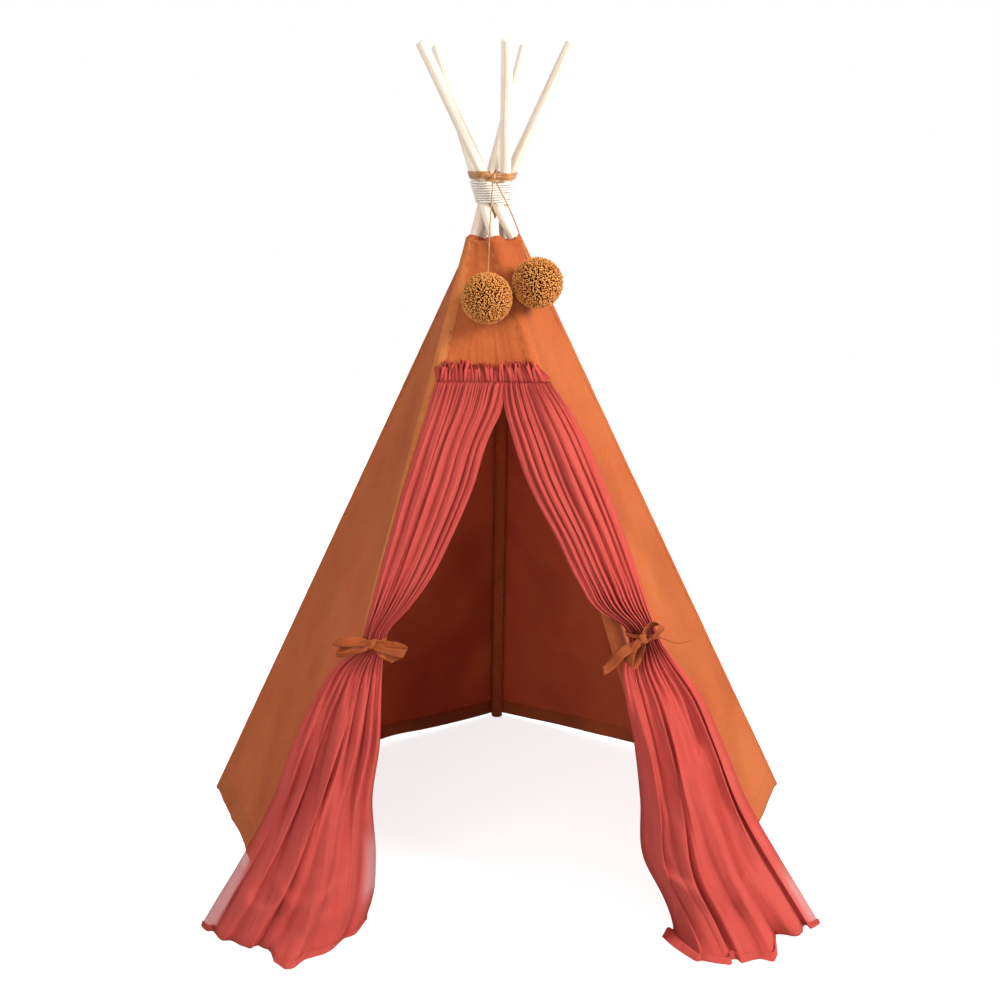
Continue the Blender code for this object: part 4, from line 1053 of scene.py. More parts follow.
def curtain_place(shares, tie, mirror, seed, long, short, run_shares, sideways_run):
    """Points of a curtain: folds that run up the cloth, close in the bundle and spread over the floor."""
    upper, pleats = Folds(BROAD_FOLDS, seed), Folds(BUNDLE_PLEATS, seed + 4, 0.6)
    fine, gathers = Folds(NARROW_FOLDS, seed + 2, 0.3), Folds(GATHERS, seed + 3, 0.35)
    run_places, runs = np.array(run_shares).T

    def place(across, up):
        """Points of the cloth at shares of its width and of its way up from the hem."""
        hanging = np.clip((up - LYING_SHARE) / (1 - LYING_SHARE), 0, 1)
        lying = np.clip(1 - up / LYING_SHARE, 0, 1)
        inner, outer, bundle, fold, sweep = eased_rows(shares, hanging)
        height = curtain_height(hanging)
        away = np.abs(hanging - tie) * (heading_seam - FLOOR_CLEAR)
        below_seam = (1 - hanging) * (heading_seam - FLOOR_CLEAR)
        fall = np.clip(1 - hanging / tie, 0, 1)
        loose = 1 - np.exp(-((fall / 0.30) ** 2))
        wander = soft_noise(seed, across * 4, hanging * 1.7)
        detail = soft_noise(seed + 1, across * 10, hanging * 4.5)
        crumple = soft_noise(seed + 2, across * 23, hanging * 19)
        drawn = np.clip(across + 0.035 * wander * np.minimum(1, away / 0.15) + 0.008 * detail, 0, 1)
        broad, _, _, lean = upper.across(drawn)
        narrow, _, _, narrow_lean = fine.across(np.clip(across + 0.014 * detail + 0.01 * wander, 0, 1))
        below_tie = np.clip(fall / 0.08, 0, 1)
        narrow_size = (0.30 + 0.70 * np.exp(-away / 0.13)) * (0.65 + 0.6 * wander) * (1 - 0.85 * loose)
        narrow_size *= 1 - 0.55 * below_tie
        broad_size = 1 - 0.75 * loose
        wave = 0.62 * broad * broad_size + 0.34 * narrow * narrow_size + 0.13 * (0.5 + wander)
        close, _, _, _ = pleats.across(np.clip(across + 0.004 * detail, 0, 1))
        round_share = np.sqrt(np.maximum(0.04, 1 - (2 * across - 1) ** 2))
        half_bundle = bundle * BUNDLE_DEPTH / 2
        out = wall_out + CURTAIN_STAND + half_bundle + fold * FOLD_DEPTH * wave
        out += (
            half_bundle * np.minimum(1, bundle) ** 0.8 * round_share * (2 * close - 1.1) * 0.95
            * (1 - 0.5 * below_tie)
        )
        small, _, _, small_lean = gathers.across(np.clip(across + 0.004 * detail, 0, 1))
        gather_stand = GATHER_STAND * np.exp(-below_seam / GATHER_DROP)
        out += (gather_stand + LOW_GATHER_STAND * np.exp(-below_seam / LOW_GATHER_DROP)) * small
        out += CRUMPLE * crumple * (0.4 + fold)
        bent = across + loose * (0.018 * detail + 0.020 * wander)
        long_out, long_sideways = long_folds(long, bent, fall)
        out += loose * (long_out * (0.85 + 0.3 * detail) + LOOSE_WANDER * wander + LOOSE_DETAIL * detail)
        short_out, short_rise = short_folds(short, bent, hanging)
        out += loose * short_out
        height = height + loose * short_rise
        on_tape = wall_out + TAPE_STAND + SEAT_STAND
        out = on_tape + (out - on_tape) * (1 - 0.85 * np.exp(-below_seam / SEAT_DROP))
        share = inner + across * (outer - inner)
        half_width = front.spread(height)[3] / 2
        past_pole = np.where(share > 1, (share - 1) / (outer - 1 + 1e-9), (1 - share) / (1 - inner))
        out -= sweep * HEM_SWEEP * past_pole ** 2
        out -= WRAP_SHARE * np.maximum(share - 1.05, 0) * half_width * (1 - loose) * (1 - bundle)
        sideways = BROAD_LEAN * lean * fold * broad * broad_size
        sideways += NARROW_LEAN * narrow_lean * narrow * narrow_size * fold
        sideways += GATHER_LEAN * small_lean * np.exp(-below_seam / GATHER_LEAN_DROP) + loose * long_sideways
        soften = np.exp(-np.maximum(height, 0) / FLOOR_SOFTENING)
        spill = soft_noise(seed + 5, across * 5, lying * 0.8)
        curl = soft_noise(seed + 6, across * 9, lying * 1.5)
        run = np.interp(across, run_places, runs)
        out += (0.55 * soften + 0.45 * lying) * LYING_RUN * (run + 0.15 * spill)
        bump = 0.5 + 0.5 * np.sin(np.pi * (lying + 0.7 * spill))
        lift = LYING_LIFT + LYING_BUMP * bump + LYING_CURL * curl
        height = height + (lying > 0) * lift * np.sin(np.pi * lying) ** 1.5
        inner_edge = np.clip(1 - across / 0.2, 0, 1)
        sideways += LYING_CURL_ASIDE * lying * curl - sideways_run * (0.3 * soften + 0.7 * lying) * inner_edge
        share = mirror * (share + sideways / half_width)
        return front.point((1 + share) / 2, np.maximum(height, FLOOR_CLEAR), out)

    return place


def left_sheer(across, up):
    """Where one layer hangs free: low at the outer edge, and a small place at the inner edge."""
    outer_edge = np.clip((0.30 - up) / 0.12, 0, 1) * np.clip((across - 0.88 - 0.32 * up) / 0.04, 0, 1)
    inner_edge = np.clip((0.24 - up) / 0.06, 0, 1) * np.clip((up - 0.07) / 0.04, 0, 1)
    return np.maximum(outer_edge, inner_edge * np.clip((0.11 - across) / 0.05, 0, 1))


def right_sheer(across, up):
    """Where one layer hangs free: low at the outer edge."""
    return np.clip((0.17 - up) / 0.06, 0, 1) * np.clip((across - 0.93) / 0.05, 0, 1)


curtain_drop = front.slant(heading_seam)
for name, sheer, *shape in (
    (
        "left", left_sheer, LEFT_CURTAIN_SHARES, LEFT_TIE_SHARE, -1, 81,
        LEFT_LONG_FOLDS, LEFT_SHORT_FOLDS, LEFT_RUN_SHARES, LEFT_SIDEWAYS_RUN,
    ),
    (
        "right", right_sheer, RIGHT_CURTAIN_SHARES, RIGHT_TIE_SHARE, 1, 101,
        RIGHT_LONG_FOLDS, RIGHT_SHORT_FOLDS, RIGHT_RUN_SHARES, RIGHT_SIDEWAYS_RUN,
    ),
):
    piece = muslin_sheet(
        f"{name}_muslin", CURTAIN_COLUMNS, CURTAIN_ROWS, curtain_place(*shape),
        (CURTAIN_CUT_WIDTH, curtain_drop), CURTAIN_CREASE_DEPTH, 1, sheer,
    )
    front.gather(piece)
    fitted(piece, node=f"{name}_curtain")

# Ties: rust cotton ribbon, wrapped once round each bundle and tied in a bow with its ends cut aslant.
# The loops' and tails' rows give a direction in degrees, a share of the length and a roll in degrees.

RIBBON_WIDTH = 0.020
RIBBON_WALL = 0.0009
RIBBON_LIGHT = (0.450, 0.098, 0.024, 1)
RIBBON_DEEP = (0.300, 0.054, 0.012, 1)
LOOP_LENGTH = 0.067
LOOP_DEPTH = 0.019
TAIL_LENGTH = 0.080
TAIL_WAVE = 0.004
BOW_STAND = 0.004
NECK_SHARE = 0.36
DROOP_SHARE = 0.03
BOW_KNOT_HALF_HEIGHT = 0.0092
BOW_KNOT_HALF_DEPTH = 0.0078
BOW_KNOT_HALF_WIDTH = 0.0068
BAND_ROOM = 0.0015
RIBBON_WEAVE = (0.0006, 0.004, 0.0004)
LEFT_LOOP_SHARES = ((-12, 1.00, 20), (194, 0.97, -35))
LEFT_TAIL_SHARES = ((174, 0.88, 0), (-30, 0.75, 0))
RIGHT_LOOP_SHARES = ((36, 0.76, 55), (229, 1.00, 52))
RIGHT_TAIL_SHARES = ((-3, 1.00, 80), (211, 1.42, 50))

ribbon_cloth = cloth_material(
    "rust_cotton_ribbon", RIBBON_LIGHT, RIBBON_DEEP, *RIBBON_WEAVE, 0.05, 0.10, CANVAS_FUZZ, RIBBON_LIGHT,
    CANVAS_CREASE_SHADE,
)


class Tie:
    """Where a curtain is tied: the middle of its bundle, its half sizes, and its own level directions."""

    def __init__(self, name, shares, tie, mirror):
        inner, outer, bundle, fold, _ = (float(row[0]) for row in eased_rows(shares, np.array([tie])))
        self.name = name
        self.height = float(curtain_height(tie))
        _, along, outward, width = front.spread(np.array(self.height))
        self.half_across = (outer - inner) / 2 * float(width) / 2
        self.half_out = bundle * BUNDLE_DEPTH / 2 + fold * FOLD_DEPTH / 2
        self.out = wall_out + CURTAIN_STAND + self.half_out
        self.share = mirror * (inner + outer) / 2
        self.middle = self.slanting(0, 0)
        self.slope = unit(self.slanting(0, 0.05) - self.slanting(0, -0.05))
        self.along, self.outward = along, outward
        self.bow_out = self.half_out + BOW_STAND + LOOP_DEPTH / 2

    def slanting(self, across, up, out=0.0):
        """Point beside the bundle's middle line, which leans as the front does."""
        height = np.array(self.height + up)
        half_width = front.spread(height)[3] / 2
        share = self.share + across / half_width
        return front.point((1 + share) / 2, height, np.array(self.out + out))

    def way(self, along, up, out):
        """A direction or step along the front, up its slope and out of it."""
        return self.along * along + self.slope * up + self.outward * out


def ribbon_piece(name, rows, closed):
    """A flat ribbon. Rows give its middle, the ways across and through it, its half width and its cup."""
    edges = (-1.0, -0.6, -0.2, 0.2, 0.6, 1.0)
    points, cloth = [], []
    length, previous = 0.0, rows[0][0]
    for middle, wide, thick, half, cup in rows:
        length += float(np.linalg.norm(middle - previous))
        previous = middle
        for side, order in ((0, edges), (1, edges[::-1])):
            for edge in order:
                shift = cup * half * edge ** 2 + (side - 0.5) * RIBBON_WALL
                points.append(middle + wide * edge * half + thick * shift)
                cloth.append((edge * RIBBON_WIDTH / 2, length, side))
    sides = 2 * len(edges)
    faces = tube_faces(len(rows), sides)
    if closed:
        last = (len(rows) - 1) * sides
        faces[-2:] = [(last + k, last + (k + 1) % sides, (k + 1) % sides, k) for k in range(sides)]
    piece = new_piece(name, points, faces, ribbon_cloth)
    store_vectors(piece, "cloth", cloth)
    bm = bmesh.new()
    bm.from_mesh(piece.data)
    bmesh.ops.recalc_face_normals(bm, faces=bm.faces)
    bm.to_mesh(piece.data)
    bm.free()
    return piece


def bow_part(tie, name, kind, direction, length, roll, seed):
    """A loop, out and back with its open side showing, or a tail, drawn from the knot."""
    way, tilt = math.radians(direction), math.radians(roll)
    along = np.array((math.cos(way), math.sin(way), 0.0))
    square = np.array((-math.sin(way), math.cos(way), 0.0))
    wide = square * math.cos(tilt) + UP * math.sin(tilt)
    thick = UP * math.cos(tilt) - square * math.sin(tilt)
    steps = 56 if kind == "loop" else 26
    rows = []
    for step in range(steps + (kind == "tail")):
        t = step / steps
        if kind == "loop":
            phase = 2 * math.pi * t
            reach = (1 - math.cos(phase)) / 2
            spot = along * reach * length + thick * LOOP_DEPTH / 2 * math.sin(phase)
            spread = math.sqrt(reach)
            turned = unit(thick * math.cos(phase) - along * math.sin(phase) * 0.35)
        else:
            reach = t
            spot = along * t * length + thick * TAIL_WAVE * math.sin(2.5 * math.pi * t + seed)
            spread = math.sin(math.pi / 2 * min(1, 2 * t))
            turned = thick
        spot = spot - np.array((0, DROOP_SHARE * length * reach ** 2, 0))
        twist = 0.25 * math.sin(3.1 * t + seed) * reach
        spot_wide = unit(wide * math.cos(twist) + thick * math.sin(twist))
        if kind == "tail":
            spot_wide = unit(spot_wide + along * t ** 6 / 2)
        middle = tie.middle + tie.way(spot[0], spot[1], tie.bow_out + spot[2])
        half = RIBBON_WIDTH / 2 * (NECK_SHARE + (1 - NECK_SHARE) * spread)
        cup = 0.35 * (1 - spread) + 0.08 * math.sin(5 * t + seed)
        rows.append((middle, tie.way(*spot_wide), tie.way(*turned), half, cup))
    return ribbon_piece(name, rows, kind == "loop")


def tie_knot(tie, seed, steps=40):
    """The wrap in the middle of the bow: the ribbon once over, drawn narrow."""
    rows = []
    for step in range(steps):
        angle = 2 * math.pi * step / steps
        radial = tie.way(0, math.cos(angle) * BOW_KNOT_HALF_HEIGHT, math.sin(angle) * BOW_KNOT_HALF_DEPTH)
        middle = tie.middle + tie.way(0, 0, tie.bow_out) + radial
        half = BOW_KNOT_HALF_WIDTH + 0.0010 * math.sin(3 * angle + seed)
        rows.append((middle, unit(tie.way(1, 0.25, 0)), unit(radial), half, -0.30))
    return ribbon_piece(f"{tie.name}_bow_knot", rows, True)


def tie_band(tie, steps=96):
    """The wrap round the bundle, a little crushed by it."""
    rows = []
    for step in range(steps):
        angle = 2 * math.pi * step / steps
        room = BAND_ROOM + 0.0007 * math.sin(9 * angle) + 0.0004 * math.sin(17 * angle)
        across = (tie.half_across + room) * math.cos(angle)
        out = (tie.half_out + room) * math.sin(angle)
        wide = unit(tie.slanting(across, 0.01, out) - tie.slanting(across, -0.01, out))
        thick = unit(tie.way(math.cos(angle) * tie.half_out, 0, math.sin(angle) * tie.half_across))
        half = RIBBON_WIDTH / 2 * (0.44 - 0.08 * math.sin(angle))
        rows.append((tie.slanting(across, 0, out), wide, thick, half, 0.10 + 0.05 * math.sin(7 * angle)))
    return ribbon_piece(f"{tie.name}_band_ribbon", rows, True)


for tie, loops, tails in (
    (Tie("left", LEFT_CURTAIN_SHARES, LEFT_TIE_SHARE, -1), LEFT_LOOP_SHARES, LEFT_TAIL_SHARES),
    (Tie("right", RIGHT_CURTAIN_SHARES, RIGHT_TIE_SHARE, 1), RIGHT_LOOP_SHARES, RIGHT_TAIL_SHARES),
):
    tied = [(tie_band(tie), "band"), (tie_knot(tie, 1.3), "bow")]
    for kind, length, rows in (("loop", LOOP_LENGTH, loops), ("tail", TAIL_LENGTH, tails)):
        for number, (direction, share, roll) in enumerate(rows, 1):
            name = f"{tie.name}_bow_{kind}_{number}"
            tied.append((bow_part(tie, name, kind, direction, length * share, roll, 2.1 * number), "bow"))
    for piece, part in tied:
        front.gather(piece)
        fitted(piece, node=f"{tie.name}_tie_{part}")

# Lashing: three-strand cotton rope, wound tightly from the crossing up round all five poles.
# Each turn follows the poles' outermost reach at its height, open or closed, so it widens upwards.

ROPE_RADIUS = 0.0021
ROPE_SWELL = 1.04
ROPE_STRAND_SHARE = 0.52
ROPE_STRAND_SIDES = 9
ROPE_TURN_GAP = 0.0005
ROPE_TURNS = 9
ROPE_LAY = 0.013
ROPE_STEP = 0.0016
CLEARANCE = 0.0003
TURN_POINTS = 48
FOLD_STEPS = 8
ROPE_CREAM = (0.93, 0.86, 0.77, 1)
ROPE_SHADE = (0.80, 0.70, 0.57, 1)
fold_angle = math.radians(joints["back_pole_fold"]["range_deg"][1])
pole_tilt = math.acos(poles[0].direction[2])
pole_radius = poles[0].extent("back_pole_upper")[2]
crossing_height = float(poles[0].crossing[2])
plan_centre = sum(pole.crossing for pole in poles) / len(poles) * np.array((1, 1, 0))


def pole_reach(height, azimuth):
    """How far the poles' sections at a height reach in a level direction, over the whole fold."""
    normal = np.array((math.cos(azimuth), math.sin(azimuth), 0.0))
    reach = 0.0
    for step in range(FOLD_STEPS + 1):
        tilt = pole_tilt - fold_angle * step / FOLD_STEPS
        for pole in poles:
            lean = unit(pole.foot * (1, 1, 0) - pole.crossing * (1, 1, 0))
            axis = pole.crossing + lean * (crossing_height - height) * math.tan(tilt)
            slanted = math.hypot(lean @ normal / math.cos(tilt), pole.across @ normal)
            reach = max(reach, float((axis - plan_centre) @ normal) + pole_radius * slanted)
    return reach


def winding(start_height, pitch, turns, spare):
    """Points of a winding: each is where the tangents half a step to each side of it meet."""
    half = math.pi / TURN_POINTS
    points = []
    for step in range(turns * TURN_POINTS + 1):
        height = start_height + pitch * step / TURN_POINTS
        azimuth = math.radians(-90) + 2 * math.pi * step / TURN_POINTS
        before = pole_reach(height, azimuth - half) + spare
        after = pole_reach(height, azimuth + half) + spare
        outward = np.array((math.cos(azimuth), math.sin(azimuth), 0.0))
        corner = outward * (before + after) / (2 * math.cos(half))
        corner = corner + np.cross(UP, outward) * (after - before) / (2 * math.sin(half))
        points.append(plan_centre + UP * height + corner)
    return np.array(points)


def empty_tree(name, **inputs):
    """A Geometry Nodes tree with its geometry sockets and named number inputs."""
    tree = bpy.data.node_groups.new(name, "GeometryNodeTree")
    tree.interface.new_socket("Geometry", in_out="INPUT", socket_type="NodeSocketGeometry")
    for label, kind in inputs.items():
        tree.interface.new_socket(label.replace("_", " "), in_out="INPUT", socket_type=f"NodeSocket{kind}")
    tree.interface.new_socket("Geometry", in_out="OUTPUT", socket_type="NodeSocketGeometry")
    return tree, tree.nodes.new("NodeGroupInput").outputs, tree.nodes.new("NodeGroupOutput")


def made_by(piece, tree, **values):
    """Runs a tree on a piece with values for its named inputs, and keeps the result as a plain mesh."""
    modifier = piece.modifiers.new("making", "NODES")
    modifier.node_group = tree
    for item in tree.interface.items_tree:
        label = item.name.replace(" ", "_")
        if item.in_out == "INPUT" and label in values:
            modifier[item.identifier] = values[label]
    return applied(piece)


def line_piece(name, lines):
    """A mesh of open lines of points, for a tree to follow."""
    mesh = bpy.data.meshes.new(name)
    points, edges = [], []
    for line in lines:
        edges += [(len(points) + k, len(points) + k + 1) for k in range(len(line) - 1)]
        points += [tuple(point) for point in line]
    mesh.from_pydata(points, edges, [])
    piece = bpy.data.objects.new(name, mesh)
    bpy.context.scene.collection.objects.link(piece)
    return piece


def spaced_along(tree, given, pitch):
    """The given lines as curves, with points a pitch apart."""
    curve = add_node(tree, "GeometryNodeMeshToCurve", {0: given["Geometry"]}).outputs[0]
    feeds = {"Curve": curve, "Length": given[pitch]}
    return add_node(tree, "GeometryNodeResampleCurve", feeds, mode="LENGTH").outputs[0]


def ended_tree(tree, given, result, geometry):
    """Makes the instances real and gives them their finish, as the tree's last nodes."""
    real = add_node(tree, "GeometryNodeRealizeInstances", {0: geometry}).outputs[0]
    finished = add_node(tree, "GeometryNodeSetMaterial", {0: real, "Material": given["Finish"]})
    tree.links.new(finished.outputs[0], result.inputs[0])
    return tree


def laid_rope_tree():
    """Three strands round a line: one profile of three circles, turned once in each lay."""
    tree, given, result = empty_tree(
        "laid_rope", Radius="Float", Lay="Float", Step="Float", Finish="Material"
    )
    length = add_node(tree, "GeometryNodeSplineParameter").outputs["Length"]
    angle = counted(tree, "MULTIPLY", counted(tree, "DIVIDE", length, given["Lay"]), 2 * math.pi)
    tilt = add_node(tree, "GeometryNodeSetCurveTilt", {0: spaced_along(tree, given, "Step"), "Tilt": angle})
    strand = counted(tree, "MULTIPLY", given["Radius"], ROPE_STRAND_SHARE)
    strands = add_node(tree, "GeometryNodeJoinGeometry")
    for number in range(3):
        around = 2 * math.pi * number / 3
        feeds = {"Radius": strand, "Resolution": ROPE_STRAND_SIDES}
        circle = add_node(tree, "GeometryNodeCurvePrimitiveCircle", feeds).outputs[0]
        feeds = {0: (math.cos(around), math.sin(around), 0), "Scale": strand}
        place = add_node(tree, "ShaderNodeVectorMath", feeds, operation="SCALE").outputs[0]
        feeds = {0: circle, "Translation": place}
        tree.links.new(add_node(tree, "GeometryNodeTransform", feeds).outputs[0], strands.inputs[0])
    feeds = {"Curve": tilt.outputs[0], "Profile Curve": strands.outputs[0]}
    sweep = add_node(tree, "GeometryNodeCurveToMesh", feeds, Fill_Caps=True)
    return ended_tree(tree, given, result, sweep.outputs[0])


def rope_material():
    """Loosely spun cotton: fine fibres and a warmer shade between them."""
    made, tree, shader = new_material("cream_cotton_rope")
    place = add_node(tree, "ShaderNodeTexCoord").outputs["Object"]
    fibres = noise_at(tree, place, 900.0, 4.0, 0.7)
    soiled = noise_at(tree, place, 60.0, 3.0)
    colour = ramp_of(tree, fibres, (0.30, ROPE_SHADE), (0.62, ROPE_CREAM))
    colour = mixed(tree, "MULTIPLY", 0.35, colour, ramp_of(tree, soiled, (0.3, 0.72), (0.7, 1.0)))
    set_surface(tree, shader, colour, Roughness=0.9, Sheen_Weight=0.25)
    raise_surface(tree, shader, fibres, 0.0005)
    return made


rope_pitch = 2 * ROPE_RADIUS + ROPE_TURN_GAP
rope_line = winding(
    crossing_height, rope_pitch, ROPE_TURNS, (ROPE_RADIUS + CLEARANCE) / math.cos(pole_tilt)
)
rope = made_by(
    line_piece("twisted_rope", [rope_line]), laid_rope_tree(), Radius=ROPE_RADIUS * ROPE_SWELL, Lay=ROPE_LAY,
    Step=ROPE_STEP, Finish=rope_material(),
)
rope.data.shade_smooth()
fitted(rope, "lashing", "lashing_rope")

# Lace: a flat strip of ochre suede, three turns over the top of the rope.
# It is knotted in front, with two short cut ends, and the pom-poms' cords hang from the knot.

LACE_WIDTH = 0.0042
LACE_WALL = 0.0014
LACE_TURNS = 3
LACE_TURN_GAP = 0.0006
LACE_END_LENGTH = 0.016
LACE_END_STEPS = 5
LACE_END_DROOP = 0.0016
LACE_END_SHARES = ((-0.80, -0.30, 0.52), (0.40, -0.30, 0.87))
KNOT_RADIUS = 0.006
SUEDE_LIGHT = (0.50, 0.215, 0.052, 1)
SUEDE_DEEP = (0.33, 0.120, 0.024, 1)
knot_centre = np.array(joints["front_pompom_swing"]["pos_m"])


def suede_material():
    """Suede: a short nap that is brushed in patches, with rough cut edges."""
    made, tree, shader = new_material("ochre_suede_nap")
    place = add_node(tree, "ShaderNodeTexCoord").outputs["Object"]
    nap = noise_at(tree, place, 1400.0, 3.0, 0.7)
    patches = noise_at(tree, place, 130.0, 3.0)
    colour = ramp_of(tree, patches, (0.35, SUEDE_DEEP), (0.65, SUEDE_LIGHT))
    colour = mixed(tree, "MULTIPLY", 0.4, colour, ramp_of(tree, nap, (0.3, 0.65), (0.7, 1.0)))
    set_surface(tree, shader, colour, Roughness=0.95, Sheen_Weight=0.4)
    raise_surface(tree, shader, nap, 0.0003)
    return made


suede = suede_material()
lace_pitch = LACE_WIDTH + LACE_TURN_GAP
lace_start = crossing_height + rope_pitch * ROPE_TURNS + ROPE_RADIUS + CLEARANCE + LACE_WIDTH / 2
lace_spare = CLEARANCE / math.cos(pole_tilt) + LACE_WIDTH / 2 * math.tan(pole_tilt)
inner_line = winding(lace_start, lace_pitch, LACE_TURNS, lace_spare)
outer_line = winding(lace_start, lace_pitch, LACE_TURNS, lace_spare + LACE_WALL)


def flat_lace():
    """The turns: eight corners round the strip's rounded section at each point, a little uneven."""
    corners = ((-1, -0.7), (-1, 0.7), (-0.5, 1), (0.5, 1), (1, 0.7), (1, -0.7), (0.5, -1), (-0.5, -1))
    points = []
    for index, (inner, outer) in enumerate(zip(inner_line, outer_line)):
        wobble = 0.00025 * math.sin(index * 0.61) + 0.0002 * math.sin(index * 0.23)
        middle = (inner + outer) / 2 + UP * wobble
        thick, wide = (outer - inner) / 2, UP * (LACE_WIDTH / 2)
        points += [middle + thick * through + wide * across for through, across in corners]
    piece = new_piece("flat_suede_lace", points, tube_faces(len(inner_line), len(corners)), suede)
    piece.data.set_sharp_from_angle(angle=math.radians(40))
    return piece


def solid_piece(name, bm, finish):
    """A smooth mesh object of a finished bmesh."""
    mesh = bpy.data.meshes.new(name)
    bm.to_mesh(mesh)
    bm.free()
    return placed_mesh(name, mesh, finish)


def knot_piece():
    """The lace's knot: crossed lobes drawn tight, and its two cut ends."""
    bm = bmesh.new()
    bmesh.ops.create_icosphere(bm, subdivisions=4, radius=KNOT_RADIUS)
    for vertex in bm.verts:
        way = vertex.co.normalized()
        lobes = math.sin(3 * math.atan2(way.z, way.x) + 2.5 * way.y) * 0.13
        vertex.co *= (1 + lobes + 0.05 * noise.noise(way * 4)) * (0.95 if way.y > 0 else 1.0)
        vertex.co += Vector(knot_centre)
    for way in LACE_END_SHARES:
        along = unit(np.array(way))
        wide = unit(np.cross(np.cross(along, UP), along)) * LACE_WIDTH / 2
        thick = unit(np.cross(along, wide)) * LACE_WALL / 2
        corners = (-wide - thick, wide - thick, wide + thick, thick - wide)
        rings = []
        for step in range(LACE_END_STEPS + 1):
            t = step / LACE_END_STEPS
            spot = knot_centre + along * LACE_END_LENGTH * t - UP * LACE_END_DROOP * t ** 2
            rings.append([bm.verts.new(spot + corner) for corner in corners])
        for here, after in zip(rings, rings[1:]):
            for k in range(4):
                bm.faces.new((here[k], here[(k + 1) % 4], after[(k + 1) % 4], after[k]))
        bm.faces.new(rings[0][::-1])
        bm.faces.new(rings[-1])
    bmesh.ops.recalc_face_normals(bm, faces=bm.faces)
    piece = solid_piece("suede_knot", bm, suede)
    piece.data.set_sharp_from_angle(angle=math.radians(45))
    return piece


fitted(flat_lace(), "lashing", "suede_lace")
fitted(knot_piece(), "lashing", "lace_knot")

# Pom-poms: balls of cut wool yarn, tied round the middle and trimmed, each on a thin suede cord.
# The cord runs from the lace's knot into the ball's middle, and hangs free between them.

POMPOM_RADIUS = 0.046
YARN_REACH = 0.0495
YARN_CORE = 0.0385
YARN_LENGTH = 0.0155
YARN_ROOT = YARN_REACH - YARN_LENGTH
YARN_RADIUS = 0.00100
YARN_ENDS = 4400
YARN_LEANS = ((-0.24, -0.24, -3.14), (0.24, 0.24, 3.14))
YARN_SIZES = ((0.80, 0.80, 0.84), (1.25, 1.25, 1.06))
YARN_LIT_TIP = (0.82, 0.37, 0.105, 1)
YARN_MIDDLE = (0.60, 0.200, 0.034, 1)
YARN_DEEP_SHADE = (0.14, 0.034, 0.005, 1)
CORD_RADIUS = 0.0012
CORD_STEP = 0.006
CORD_BOW = 0.006
CORD_SIDES = 8
CORD_ROUTE_SHARES = ((0.00, 0.0), (0.22, 0.6), (0.50, 1.0), (0.78, 0.6), (1.00, 0.0))


def yarn_material():
    """Wool: fibres along and round each end, with painted shade down in the ball and painted light at the tips."""
    made, tree, shader = new_material("ochre_wool_yarn")
    place = add_node(tree, "ShaderNodeTexCoord").outputs["Object"]
    fibres = noise_at(tree, place, 1100.0, 4.0, 0.7)
    strand = noise_at(tree, place, 190.0, 2.0)
    out = add_node(tree, "ShaderNodeAttribute", attribute_name="tip").outputs["Fac"]
    out = counted(tree, "ADD", out, counted(tree, "MULTIPLY", counted(tree, "SUBTRACT", strand, 0.5), 0.5))
    # Painted shade deep in the ball and painted light at the tips, by the share out to the tip.
    colour = ramp_of(tree, out, (0.42, YARN_DEEP_SHADE), (0.82, YARN_MIDDLE), (1.04, YARN_LIT_TIP))
    colour = mixed(tree, "MULTIPLY", 0.45, colour, ramp_of(tree, fibres, (0.3, 0.55), (0.65, 1.0)))
    set_surface(
        tree, shader, colour, Roughness=0.95, Specular_IOR_Level=0.2, Sheen_Weight=0.05,
        Sheen_Tint=(1.0, 0.6, 0.25, 1),
    )
    raise_surface(tree, shader, fibres, 0.0005)
    return made


def set_on(tree, points, instance, rotation, scale):
    """Instances of a mesh on points, each turned and sized."""
    feeds = {"Points": points, "Instance": instance, "Rotation": rotation, "Scale": scale}
    return add_node(tree, "GeometryNodeInstanceOnPoints", feeds).outputs[0]


def chance(tree, seed, low, high):
    """A random vector for each point, between two limits."""
    drawn = add_node(
        tree, "FunctionNodeRandomValue", {"Seed": seed}, data_type="FLOAT_VECTOR", Min=low, Max=high
    )
    return drawn.outputs[0]


def yarn_tree():
    """Cut ends of yarn that stand out of a ball, each leaning and as long as chance has it."""
    tree, given, result = empty_tree(
        "cut_yarn", Density="Float", Thickness="Float", Length="Float", Seed="Int", Finish="Material"
    )
    feeds = {"Mesh": given["Geometry"], "Density": given["Density"], "Seed": given["Seed"]}
    spread = add_node(tree, "GeometryNodeDistributePointsOnFaces", feeds, distribute_method="RANDOM").outputs
    slim = counted(tree, "MULTIPLY", given["Thickness"], 0.75)
    feeds = {"Radius Top": given["Thickness"], "Radius Bottom": slim, "Depth": given["Length"]}
    end = add_node(tree, "GeometryNodeMeshCone", feeds, Vertices=6, Side_Segments=2).outputs[0]
    lean, size = (chance(tree, given["Seed"], *limits) for limits in (YARN_LEANS, YARN_SIZES))
    feeds = {0: spread["Rotation"], 1: lean}
    turned = add_node(tree, "FunctionNodeRotateRotation", feeds, rotation_space="LOCAL").outputs[0]
    return ended_tree(tree, given, result, set_on(tree, spread["Points"], end, turned, size))


def smooth_route(points, step):
    """Points about a step apart on the smooth curve through a route's own points."""
    padded = [2 * points[0] - points[1], *points, 2 * points[-1] - points[-2]]
    smooth = []
    for a, b, c, d in zip(padded, padded[1:], padded[2:], padded[3:]):
        count = max(1, round(float(np.linalg.norm(c - b)) / step))
        for number in range(count):
            t = number / count
            bend = (2 * a - 5 * b + 4 * c - d) * t**2
            smooth.append((2 * b + (c - a) * t + bend + (3 * b - a - 3 * c + d) * t**3) / 2)
    return [*smooth, points[-1]]


